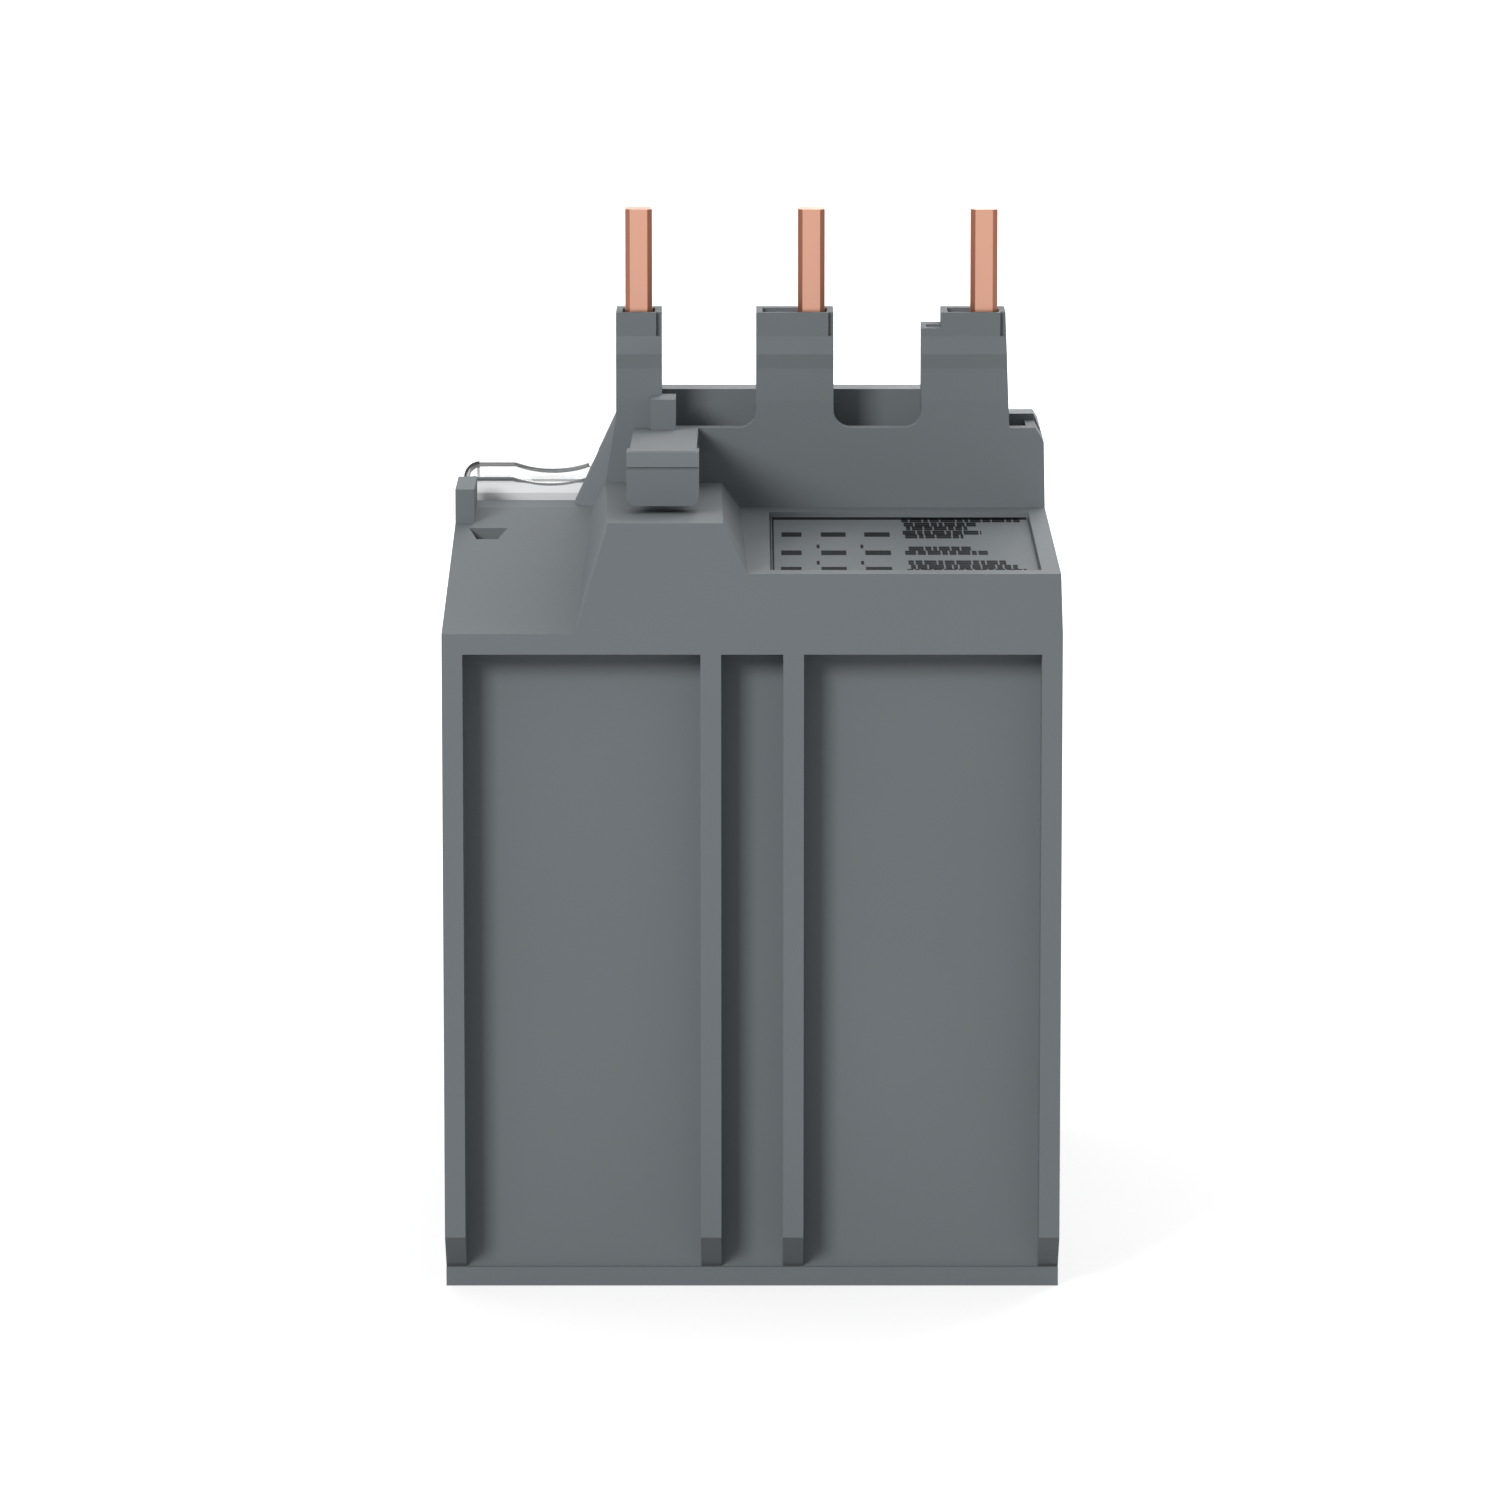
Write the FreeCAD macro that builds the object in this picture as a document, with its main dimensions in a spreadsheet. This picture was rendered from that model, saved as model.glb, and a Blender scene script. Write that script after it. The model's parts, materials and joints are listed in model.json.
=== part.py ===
"""A 45 mm wide three-pole thermal overload relay that hangs under a contactor.

Row frame, millimetres: +Z up, +X to the right seen from the front, the front faces -Y,
the origin lies under the middle of the bounding box.
"""
import FreeCAD, Part
import Sketcher
import math
import os

DOC = FreeCAD.newDocument("overload_relay")
SHEET = DOC.addObject("Spreadsheet::Sheet", "Sizes")


# Sizes: a number that knows the expression it came from
class Size:
    """A value in millimetres or degrees together with its spreadsheet expression."""

    def __init__(self, value, text):
        self.value = value
        self.text = text

    def combine(self, sign, other, swapped=False):
        """Joins two sizes, or a size and a plain number, with one arithmetic sign."""
        if not isinstance(other, Size):
            other = Size(float(other), repr(float(other)))
        left, right = (other, self) if swapped else (self, other)
        value = {"+": left.value + right.value,
                 "-": left.value - right.value,
                 "*": left.value * right.value,
                 "/": left.value / right.value if right.value else 0.0}[sign]
        return Size(value, "(%s %s %s)" % (left.text, sign, right.text))

    def __add__(self, other):
        return self.combine("+", other)

    def __radd__(self, other):
        return self.combine("+", other, True)

    def __sub__(self, other):
        return self.combine("-", other)

    def __rsub__(self, other):
        return self.combine("-", other, True)

    def __mul__(self, other):
        return self.combine("*", other)

    def __rmul__(self, other):
        return self.combine("*", other, True)

    def __truediv__(self, other):
        return self.combine("/", other)

    def __neg__(self):
        return self.combine("*", -1.0)


class Values:
    """The driving dimensions, one spreadsheet row each, read back by name."""

    def __init__(self, table):
        self.rows = 0
        self.follow(table, None)

    def follow(self, table, base):
        """Adds a table of sizes; with a base, each is a place at that distance from it."""
        for name, number in table.items():
            self.rows += 1
            SHEET.set("A%d" % self.rows, name.replace("_", " "))
            SHEET.set("B%d" % self.rows, repr(number))
            SHEET.setAlias("B%d" % self.rows, name)
            size = Size(float(number), "Sizes." + name)
            setattr(self, name, size if base is None else base + size)


SIZES = {
    # Body envelope
    "body_width": 45.0,  # width over the side faces
    "rear_y": 35.0,  # plane of the rear ribs
    "wall_y": -0.2,  # rear face of the shroud wall
    "power_top": 19.0,  # top of the power terminal block
    "aux_top": 31.0,  # top of the auxiliary terminal deck
    "wall_thick": 1.6,  # outer wall
    "partition": 1.2,  # wall between two poles
    "fit_gap": 0.3,  # clearance between parts that move past each other
    "run_gap": 0.05,  # radial clearance of a shaft in its bearing
    # Rear face
    "recess_depth": 3.0,  # depth of the rear recess behind the ribs
    "rail_width": 1.5,  # side rail and rib thickness
    "rib_x": 3.0,  # distance of each middle rib from the centre plane
    "rib_foot": 4.2,  # height where a rib's lower chamfer starts
    "sill_height": 1.4,  # height of the sill under the ribs
    "sill_proud": 0.4,  # how far the sill stands out of the recess floor
    # Upper surfaces of the rear moulding
    "block_right": 2.1,  # right end of the block's top
    "block_right_end": 2.34,  # right end of the block's top at the wall
    "block_right_foot": 0.3,  # foot of the block's right flank
    "block_right_far": 0.93,  # foot of the block's right flank at the wall
    "side_draft": 0.15,  # how far the side faces lean in above the ribs
    "label_thick": 0.12,  # thickness of the rating label
    "plate_depth": 0.5,  # depth of the rating plate pocket
    "plate_left": -1.3,  # left edge of the rating plate pocket
    # Shroud wall with its three pin shrouds
    "shroud_wall": 0.5,  # wall of a pin shroud
    "saddle_round": 1.3,  # corner radius of the cuts between the shrouds
    "cap_height": 1.8,  # height of the cap band of a shroud
    "cap_step": 0.35,  # how far the cap band lies behind the wall's face
    "cap_slope": 1.35,  # height of the slope under the cap band
    "hollow_depth": 0.15,  # depth of the shallow hollow under that slope
    "hollow_height": 3.5,  # height of that hollow
    "hollow_fall": 1.1,  # how far below the ledge the hollow is deepest
    "step_rim": 0.4,  # rim of the small pocket in the step beside the third shroud
    "snap_width": 5.0,  # width of the snap loops that join the mouldings
    "snap_length": 6.0,  # length of the snap loops
    "snap_thick": 0.6,  # thickness of the snap loops
    "snap_sunk": 0.1,  # how far the snap loops lie below the side face
    "snap_frame": 1.1,  # width of the frame of a snap loop
    "snap_low": 9.5,  # height of the snap loops on the power terminal block
    "snap_high": 25.0,  # height of the snap loops on the front moulding
    "cap_notch": 0.4,  # width of the notch at the right end of a cap band
    "saddle_wall": 1.4,  # thickness of the wall between the shrouds
    "saddle_pocket": 3.2,  # depth of the pockets behind that wall
    "facet_foot": 2.1,  # width of the facet on the wall's left end at its foot
    # Latch arm, tab, cheek and slot
    "arm_thick": 2.0,  # thickness of the latch arm
    "nose_length": 4.6,  # length of the latch nose
    "nose_rise": 1.65,  # height of the nose above the root of the arm
    "nose_chin": 0.45,  # height of the nose's rear face above the root of the arm
    "nose_slope": 0.55,  # depth of the sloped band above that face
    "nose_groove": 0.2,  # depth of the groove between face and band
    "groove_height": 0.16,  # height of that groove
    "nose_wide": 0.2,  # how far the nose is wider than the arm on each side
    "nose_round": 0.7,  # rounding of the latch nose's lower sides
    "tab_depth": 2.6,  # depth of that tab
    "cheek_thick": 1.44,  # thickness of the cheek beside the cover
    "slot_taper": 0.65,  # how much each end of the key slot tapers
    "slot_depth": 1.5,  # depth of the key slot
    # Poles and line pins
    "pole_side": 5.55,  # what the three pole pitches leave of the width
    "pin_width": 2.06,  # line pin width
    "pin_depth": 2.2,  # line pin depth
    "pin_chamfer": 0.35,  # chamfer of the line pin's edges
    "lead_thick": 1.5,  # thickness of that lead
    "chamber_floor": 2.0,  # floor of the pole chambers
    # Bimetal strips and heaters
    "strip_width": 7.0,  # bimetal strip width
    "strip_thick": 1.0,  # bimetal strip thickness
    "foot_knuckle": 1.0,  # radius of the rolled foot of a strip
    "foot_pin": 0.45,  # radius of the pin in the rolled foot
    "foot_ear": 0.8,  # thickness of the ears that hold that pin
    "sleeve_thick": 0.4,  # insulating sleeve over a strip
    "heater_gap": 0.25,  # space between sleeve and heater band
    "heater_wire": 0.8,  # heater band section
    "heater_pitch": 2.0,  # heater band pitch
    # Load conductors and terminals
    "load_side": 2.1,  # what the three load pitches leave of the width
    "load_thick": 1.2,  # thickness of the load conductors
    "load_width": 4.0,  # width of the load conductors
    "load_plate_width": 6.0,  # width of the terminal plate
    "load_plate_bottom": 3.0,  # lower end of the terminal plate
    "cage_width": 8.4,  # terminal cage width
    "cage_wall": 1.1,  # terminal cage wall
    "load_screw_head": 2.9,  # terminal screw head radius
    "load_screw_shank": 2.0,  # terminal screw shank radius
    "load_screw_head_length": 1.5,  # terminal screw head length
    "load_screw_length": 2.9,  # terminal screw shank length
    "load_slot": 0.9,  # width of the terminal screws' slot
    "entry_width": 6.8,  # wire entry width
    "load_chamber_width": 9.0,  # width of a load terminal chamber
    "load_screw_z": 9.2,  # height of the load terminal screws
    "load_funnel": 3.4,  # radius of the screwdriver holes over them
    "jog_depth": 3.4,  # depth of the channel where the load conductors cross over
    # Auxiliary terminals and contacts
    "aux_side": 3.4,  # what the four auxiliary pitches leave of the width
    "aux_plate_width": 5.2,  # auxiliary terminal plate width
    "aux_plate_height": 6.4,  # auxiliary terminal plate height
    "aux_thick": 0.8,  # thickness of the auxiliary conductors
    "aux_strip_width": 2.4,  # width of the auxiliary conductors
    "aux_washer": 5.0,  # clamp washer side
    "aux_head": 2.1,  # auxiliary screw head radius
    "aux_head_length": 1.6,  # auxiliary screw head length
    "aux_shank": 1.3,  # auxiliary screw shank radius
    "aux_slot": 0.7,  # width of the auxiliary screws' slot
    "slot_share": 0.55,  # share of a screw head's height that its slot takes
    "aux_pocket": 2.5,  # radius of the screwdriver pockets
    "aux_entry_width": 4.6,  # auxiliary wire entry width
    "nc_plane": 4.7,  # left face of the normally closed fixed contacts
    "no_plane": -10.4,  # right face of the normally open fixed contacts
    "contact_height": 34.4,  # height of the contact points
    "button_radius": 0.9,  # contact button radius
    "button_thick": 0.5,  # contact button thickness
    "bridge_thick": 0.4,  # contact bridge thickness
    "bridge_height": 2.2,  # contact bridge height
    "contact_gap": 0.1,  # gap of a closed contact pair in the model
    "post_thick": 1.6,  # thickness of the carrier's posts
    # Contact carrier and trip lever
    "carrier_height": 2.0,  # height of the contact carrier's bar
    "carrier_right": -12.0,  # far end of the contact carrier
    "flag_x": -1.6,  # middle of the trip flag at rest
    "flag_width": 2.2,  # width of the trip flag
    "flag_window": 1.6,  # width of the trip flag's window
    "carrier_travel": 1.5,  # travel of the contact carrier
    "lever_pin": 0.8,  # radius of the lever pins
    "lever_hub": 1.8,  # radius of the lever hubs
    "lever_arm": 1.6,  # width of the trip lever's lower arm
    "blade_thick": 0.8,  # compensation strip thickness
    "bracket_thick": 1.2,  # thickness of the lever bracket
    # Slides
    "slide_bottom": 44.6,  # underside of the slides
    "slide_thick": 1.2,  # thickness of the slides
    "slide_bar": 2.6,  # width of a slide bar
    "slide_gap": 1.8,  # space between the two slides
    "finger_thick": 1.4,  # thickness of the slide fingers
    "slide_arm": 2.8,  # width of the main slide's forward arm
    "link_side": 1.1,  # half the width of the differential lever
    "link_pin": 0.7,  # radius of the differential lever's pin
    "link_thick": 0.7,  # thickness of the differential lever
    # Control panel
    "end_round": 0.9,  # how far the right end of the upper edges lies inside the side face
    "end_lean": 0.25,  # how far that end still lies inside at the corner below
    "front_lean": 3.1,  # how far that edge leans in
    "lip_depth": 2.8,  # depth of the level lip on top of the front moulding
    "front_fall": 4.6,  # fall of the front moulding's top from the lip to the panel
    "field_depth": 0.4,  # depth of the recessed fields on the front
    "field_margin": 1.3,  # margin of the button field around the buttons
    "marker_height": 2.0,  # height of the marker fields over the terminals
    "barrier_thick": 1.2,  # thickness of the barriers between the load terminals
    "barrier_deep": 3.6,  # how far the barriers stand out of the power terminal block
    "vent_width": 1.1,  # width of the slots in the front moulding's top
    "vent_length": 9.0,  # length of those slots
    "vent_pitch": 2.6,  # distance from slot to slot
    "vent_depth": 1.2,  # least depth of those slots
    "dial_radius": 4.0,  # dial radius
    "dial_thick": 2.3,  # dial thickness in front of the panel
    "dial_shaft": 1.6,  # dial shaft radius
    "dial_slot_width": 1.0,  # screwdriver slot width
    "dial_slot_depth": 0.9,  # screwdriver slot depth
    "cam_thick": 2.6,  # cam thickness
    "cam_small": 2.5,  # smallest cam radius
    "cam_rise": 0.8,  # rise of the cam over its travel
    "cam_travel": 270.0,  # turn of the dial
    "reset_x": 0.0,  # reset button axis
    "reset_radius": 3.0,  # reset button radius
    "collar_thick": 0.9,  # wall of the reset collar
    "stop_radius": 3.4,  # stop button radius
    "button_proud": 3.4,  # how far the buttons stand out of the panel
    "flange_wide": 0.8,  # how far a button's flange stands out
    "flange_thick": 0.9,  # thickness of a button's flange
    "push_travel": 2.2,  # travel of the stop and reset buttons
    "stem_radius": 1.1,  # stem radius of the buttons
    "plate_thick": 1.4,  # thickness of the mechanism plate
    "plate_bottom": 37.0,  # lower edge of the mechanism plate
    "test_radius": 1.5,  # test button radius
    "test_proud": 1.6,  # how far the test button stands out of the panel
    "test_stem": 0.9,  # stem radius of the test button
    "test_travel": 1.5,  # travel of the test button
    "spring_wire": 0.35,  # spring wire section
    "spring_turns": 5.0,  # turns of each spring
    # Clear cover
    "cover_wall": 0.9,  # wall of the cover
    "cover_slant": 2.2,  # size of the slanted edge between top and front
    "cover_round": 1.0,  # rounding of the cover's upper side edges
    "cover_dip": 0.5,  # depth of the finger dip
    "cover_dip_width": 5.8,  # width of the finger dip
    "cover_level": 9.6,  # length of the level part of the cover behind its fall
    "hinge_pin": 0.5,  # hinge pin radius
    "web_gap": 0.6,  # distance of the carrier web from the open contact's plane
    "web_end": 4.4,  # distance of the carrier web from the trip lever's axis
    "web_side": 0.9,  # how far the web stays inside the carrier's sides
    "lug_thick": 1.0,  # thickness of the hinge lugs
    "lug_foot": 1.7,  # length of a lug's foot in front of the pin
    "lug_rim": 0.35,  # rim of a hinge lug around its pin hole
}
v = Values(SIZES)
half = v.body_width / 2
v.pole_pitch = (v.body_width - v.pole_side) / 3
v.load_pitch = (v.body_width - v.load_side) / 3
v.aux_pitch = (v.body_width - v.aux_side) / 4

# Places measured from the left side face
LEFT = {
    "pole_first": -13.86,  # first pole
    "block_left": -12.1,  # left end of the block's top
    "block_left_foot": -9.65,  # foot of the block's left flank at the rear
    "block_left_far": -10.3,  # foot of the block's left flank at the wall
    "block_left_end": -11.3,  # left end of the block's top at the wall
    "flank_foot": -8.9,  # foot of the wall's sloping left end
    "slot_left": -1.1,  # left end of the key slot in the deck
    "slot_right": -4.0,  # right end of the key slot
    "slide_end": -4.3,  # inner end of the slides
    "front_left": -10.7,  # left side of the front moulding above the column
    "dial_x": -5.25,  # dial axis
    "lever_x": -6.1,  # trip lever axis
    "setting_x": -9.3,  # setting lever axis
    "bracket_left": -12.9,  # inner edge of the lever bracket
    "plate_side": -13.9,  # edge of the mechanism plate beside the lever bracket
    "cover_left": -0.2,  # outer end of the cover
}
v.follow(LEFT, half)
POLES = [v.pole_first - v.pole_pitch * index for index in range(3)]

# Places measured from the right side face
RIGHT = {
    "plate_right": 1.5,  # right edge of the rating plate pocket
    "slide_start": 2.3,  # outer end of the slides
    "front_slope": 9.1,  # where the front moulding's top starts to fall to its shoulder
    "stop_x": 9.5,  # stop button axis
}
v.follow(RIGHT, -half)

# Sides of the first shroud, the latch arm and its tab, from the first pole
SHROUD_1 = {
    "shroud_l1_left": 1.73,  # first shroud, left side
    "shroud_l1_right": -1.74,  # first shroud, right side
    "arm_left": 0.36,  # left side of the latch arm
    "arm_right": -4.54,  # right side of the latch arm
    "tab_left": -0.94,  # left side of the tab on the arm's root
    "tab_right": -2.84,  # right side of that tab
}
v.follow(SHROUD_1, POLES[0])

# Sides of the second shroud, from the second pole
SHROUD_2 = {
    "shroud_l2_left": 4.21,  # second shroud, left side
    "shroud_l2_right": -1.69,  # second shroud, right side
}
v.follow(SHROUD_2, POLES[1])

# Sides of the third shroud and its step, from the third pole
SHROUD_3 = {
    "shroud_l3_left": 3.26,  # third shroud, left side
    "shroud_l3_right": -1.64,  # third shroud, right side
    "step_left": 4.76,  # left side of the low step
}
v.follow(SHROUD_3, POLES[2])

# Places measured from the trip lever axis
LEVER_ENDS = {
    "carrier_left": -1.1,  # driven end of the contact carrier
}
v.follow(LEVER_ENDS, v.lever_x)

# Places measured from the side of the front moulding
COLUMN_SIDE = {
    "cover_right": 0.4,  # inner end of the cover
}
v.follow(COLUMN_SIDE, v.front_left)

# Places measured from the cover's inner end
COVER_SIDE = {
    "cover_dip_x": 3.5,  # middle of the finger dip
}
v.follow(COVER_SIDE, v.cover_right)

# Heights measured from the slides
SLIDE_HEIGHTS = {
    "strip_top": -0.6,  # tip of the bimetal strips
    "finger_bottom": -3.0,  # lower end of the slide fingers
    "blade_top": 1.9,  # upper end of the compensation strip
    "chamber_top": 2.3,  # roof of the pole chambers
}
v.follow(SLIDE_HEIGHTS, v.slide_bottom)

# Heights measured from the roof of the chambers
ROOF_HEIGHTS = {
    "low_deck": 2.0,  # left deck height at the rear
    "recess_top": 0.5,  # top edge of the rear recess
}
v.follow(ROOF_HEIGHTS, v.chamber_top)

# Heights measured from the left deck
LOW_DECK_HEIGHTS = {
    "high_deck": 4.4,  # deck height at the shroud wall
    "column_top": 1.1,  # top of that column
}
v.follow(LOW_DECK_HEIGHTS, v.low_deck)

# Heights measured from the right deck
DECK_HEIGHTS = {
    "block_top": 3.7,  # block height at the rear
    "block_end": 1.9,  # block height at the shroud wall
    "saddle_top": 6.1,  # height of the wall between the shrouds
    "cheek_top": 2.0,  # top of the cheek
    "hollow_top": 0.3,  # roof of the front moulding's hollow
}
v.follow(DECK_HEIGHTS, v.high_deck)

# Heights measured from the wall between the shrouds
SADDLE_HEIGHTS = {
    "wall_shoulder": -1.1,  # height where the wall's right corner is cut off
    "shroud_top": 8.8,  # height of the shrouds
    "nose_drop": -2.25,  # underside of the latch nose
    "tab_top": 2.5,  # top of that tab
    "front_top": 2.4,  # top of the front moulding
    "front_shoulder": 0.5,  # height of the front moulding's right shoulder
}
v.follow(SADDLE_HEIGHTS, v.saddle_top)

# Heights measured from the shrouds
SHROUD_HEIGHTS = {
    "shroud_step": -1.2,  # height of the low step beside the third shroud
    "pin_top": 7.8,  # line pin tip
}
v.follow(SHROUD_HEIGHTS, v.shroud_top)

# Heights measured from the front moulding's top
FRONT_HEIGHTS = {
    "front_left_low": -8.2,  # height where the front moulding's left edge starts to lean in
}
v.follow(FRONT_HEIGHTS, v.front_top)

# Heights measured from the roof of the front hollow
HOLLOW_HEIGHTS = {
    "plate_top": -0.4,  # upper edge of the mechanism plate
}
v.follow(HOLLOW_HEIGHTS, v.hollow_top)

# Heights measured from the column
COLUMN_HEIGHTS = {
    "cover_high": 4.75,  # height of the cover's rear edge
    "cover_low": 2.9,  # height of the cover above the panel
    "cover_lip": 2.4,  # lower edge of the cover beside the hinge
    "hinge_z": 2.7,  # cover hinge axis height
    "dial_z": -6.2,  # dial axis height
    "button_z": -7.0,  # height of the stop and reset buttons
}
v.follow(COLUMN_HEIGHTS, v.column_top)

# Heights measured from the dial axis
DIAL_HEIGHTS = {
    "setting_z": -5.4,  # setting lever axis height
    "test_z": -8.6,  # height of the test button
}
v.follow(DIAL_HEIGHTS, v.dial_z)

# Heights measured from the contact points
CONTACT_HEIGHTS = {
    "contact_top": 1.2,  # top of the fixed contacts
    "carrier_bottom": -4.4,  # underside of the contact carrier
    "lever_z": 1.6,  # trip lever axis height
}
v.follow(CONTACT_HEIGHTS, v.contact_height)

# Heights measured from the contact carrier
CARRIER_HEIGHTS = {
    "lever_bottom": -0.4,  # lower end of the trip lever
    "flag_top": 6.4,  # top of the trip flag
}
v.follow(CARRIER_HEIGHTS, v.carrier_bottom)

# Heights measured from the trip lever axis
LEVER_HEIGHTS = {
    "bracket_bottom": -3.4,  # lower edge of the lever bracket
}
v.follow(LEVER_HEIGHTS, v.lever_z)

# Heights measured from the power terminal block
BLOCK_HEIGHTS = {
    "aux_z": 5.5,  # height of the auxiliary screws
    "load_strip_top": -2.8,  # top of the load conductors
}
v.follow(BLOCK_HEIGHTS, v.power_top)

# Heights measured from the load conductors
LOAD_HEIGHTS = {
    "strip_foot": 2.8,  # height of the axis in the foot of the bimetal strips
}
v.follow(LOAD_HEIGHTS, v.load_strip_top)

# Heights measured from the strips' feet
FOOT_HEIGHTS = {
    "sleeve_bottom": 3.0,  # lower end of the sleeve
    "heater_bottom": 4.0,  # lower end of the heater winding
}
v.follow(FOOT_HEIGHTS, v.strip_foot)

# Heights measured from the strips' tips
TIP_HEIGHTS = {
    "sleeve_top": -6.0,  # upper end of the sleeve
    "lead_bottom": -10.5,  # underside of the pin's lead to the heater
}
v.follow(TIP_HEIGHTS, v.strip_top)

# Heights measured from the auxiliary terminal deck
TERMINAL_HEIGHTS = {
    "cover_bottom": 0.6,  # lower edge of the cover
}
v.follow(TERMINAL_HEIGHTS, v.aux_top)

# Heights measured from the terminal screws
SCREW_HEIGHTS = {
    "cage_bottom": -4.2,  # lower end of the terminal cage
    "cage_top": 4.2,  # upper end of the terminal cage
}
v.follow(SCREW_HEIGHTS, v.load_screw_z)

# Places measured from the rear ribs
REAR_PLACES = {
    "chamber_rear": -5.0,  # rear end of the pole chambers
    "plate_rear": -2.0,  # rear edge of the rating plate pocket
    "nose_end": -8.0,  # rear end of the latch nose
}
v.follow(REAR_PLACES, v.rear_y)

# Places measured from the shroud wall
WALL_PLACES = {
    "plate_front": 2.7,  # front edge of the rating plate pocket
    "cheek_rear": 4.6,  # rear end of the cheek
    "cheek_front": -2.8,  # front end of the cheek
    "slot_front": 6.0,  # front edge of the key slot
    "slot_rear": 9.2,  # rear edge of the key slot
    "pin_y": -2.2,  # line pin axis
    "strip_y": 6.7,  # middle of the bimetal strips
    "split_y": -4.8,  # parting plane of rear and front mouldings
}
v.follow(WALL_PLACES, v.wall_y)

# Places measured from the parting plane
SPLIT_PLACES = {
    "cover_rear": -0.4,  # rear edge of the cover
    "load_plate_y": -3.4,  # rear face of the terminal plate
    "cage_rear": -2.2,  # rear of the terminal cage
    "entry_rear": -4.4,  # rear edge of the wire entries
    "lever_rear": -3.7,  # rear face of the trip lever hub
    "contact_rear": -4.5,  # rear contact pair
}
v.follow(SPLIT_PLACES, v.split_y)

# Places measured from the cover's rear edge
HINGE_PLACES = {
    "hinge_y": -2.05,  # cover hinge axis
}
v.follow(HINGE_PLACES, v.cover_rear)

# Places measured from the trip lever's rear face
LEVER_PLACES = {
    "blade_front": -3.3,  # front edge of the compensation strip
    "slide_arm_end": -3.5,  # front end of the main slide's forward arm
    "lever_front": -7.3,  # front face of the trip lever hub
    "carrier_rear": -4.8,  # rear face of the contact carrier
    "carrier_front": -7.8,  # front face of the contact carrier
}
v.follow(LEVER_PLACES, v.lever_rear)

# Places measured from the rear contact pair
CONTACT_PLACES = {
    "contact_front": -11.0,  # front contact pair
}
v.follow(CONTACT_PLACES, v.contact_rear)

# Places measured from the trip lever's front face
HUB_PLACES = {
    "bracket_front": -2.4,  # front face of the lever bracket
    "plate_y": 1.0,  # front face of the mechanism plate
}
v.follow(HUB_PLACES, v.lever_front)

# Places measured from the lever bracket
BRACKET_PLACES = {
    "dial_end": -0.8,  # rear end of the dial shaft
    "cam_front": -5.8,  # front face of the cam
}
v.follow(BRACKET_PLACES, v.bracket_front)

# Places measured from the cam
CAM_PLACES = {
    "panel_y": -6.8,  # front face of the control panel
}
v.follow(CAM_PLACES, v.cam_front)

# Places measured from the control panel
PANEL_PLACES = {
    "aux_y": 4.0,  # front face of the auxiliary terminal deck
    "power_y": 9.0,  # front face of the power terminal block
    "cover_front": -4.0,  # front face of the cover
}
v.follow(PANEL_PLACES, v.panel_y)

# Places measured from the auxiliary terminal deck's front
AUX_PLACES = {
    "aux_plate_y": 6.0,  # rear face of the auxiliary terminal plates
    "aux_washer_y": 3.4,  # rear face of the clamp washers
}
v.follow(AUX_PLACES, v.aux_y)

# Places measured from the power terminal block's front
POWER_PLACES = {
    "cage_front": 2.4,  # front of the terminal cage
    "entry_front": 4.8,  # front edge of the wire entries
}
v.follow(POWER_PLACES, v.power_y)

LOADS = [v.load_pitch * (1 - index) for index in range(3)]
AUX = [v.aux_pitch * (index - 1.5) for index in range(4)]


# Helpers that turn sizes into parametric features
def number(value):
    """The plain number behind a size or a number."""
    return value.value if isinstance(value, Size) else float(value)


def bind(item, prop, value):
    """Ties one property to its expression, or sets it where it is a plain number."""
    if isinstance(value, Size):
        item.setExpression(prop, value.text)
    else:
        item.setExpression(prop, repr(float(value)))


def place(item, base, angle=0.0, axis=(0, 0, 1)):
    """Places a feature at a point given in sizes."""
    turn = FreeCAD.Rotation(FreeCAD.Vector(*axis), angle)
    start = FreeCAD.Vector(*[number(part) for part in base])
    item.Placement = FreeCAD.Placement(start, turn)
    for letter, part in zip("xyz", base):
        bind(item, "Placement.Base." + letter, part)


def box(name, x_span, y_span, z_span):
    """A box between three pairs of coordinates."""
    item = DOC.addObject("Part::Box", name)
    bind(item, "Length", x_span[1] - x_span[0])
    bind(item, "Width", y_span[1] - y_span[0])
    bind(item, "Height", z_span[1] - z_span[0])
    place(item, (x_span[0], y_span[0], z_span[0]))
    return item


TURNS = {"x": (90.0, (0, 1, 0)), "y": (-90.0, (1, 0, 0)), "z": (0.0, (0, 0, 1))}


def cylinder(name, radius, direction, start, length):
    """A cylinder that runs from a point along +X, +Y or +Z."""
    item = DOC.addObject("Part::Cylinder", name)
    bind(item, "Radius", radius)
    bind(item, "Height", length)
    angle, axis = TURNS[direction]
    place(item, start, angle, axis)
    return item


def rod_y(name, radius, x, z, y_span):
    """A round rod along Y."""
    return cylinder(name, radius, "y", (x, y_span[0], z), y_span[1] - y_span[0])


def fuse(name, items):
    """One solid from several that touch."""
    item = DOC.addObject("Part::MultiFuse", name)
    item.Shapes = items
    item.Refine = True
    return item


def cut(name, base, tools):
    """The base without the tools."""
    tool = tools[0] if len(tools) == 1 else fuse(name + "_tools", tools)
    item = DOC.addObject("Part::Cut", name)
    item.Base = base
    item.Tool = tool
    item.Refine = True
    return item


def group(name, items):
    """Equal pieces of one kind in one node, each its own solid."""
    item = DOC.addObject("Part::Compound", name)
    item.Links = items
    return item


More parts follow.
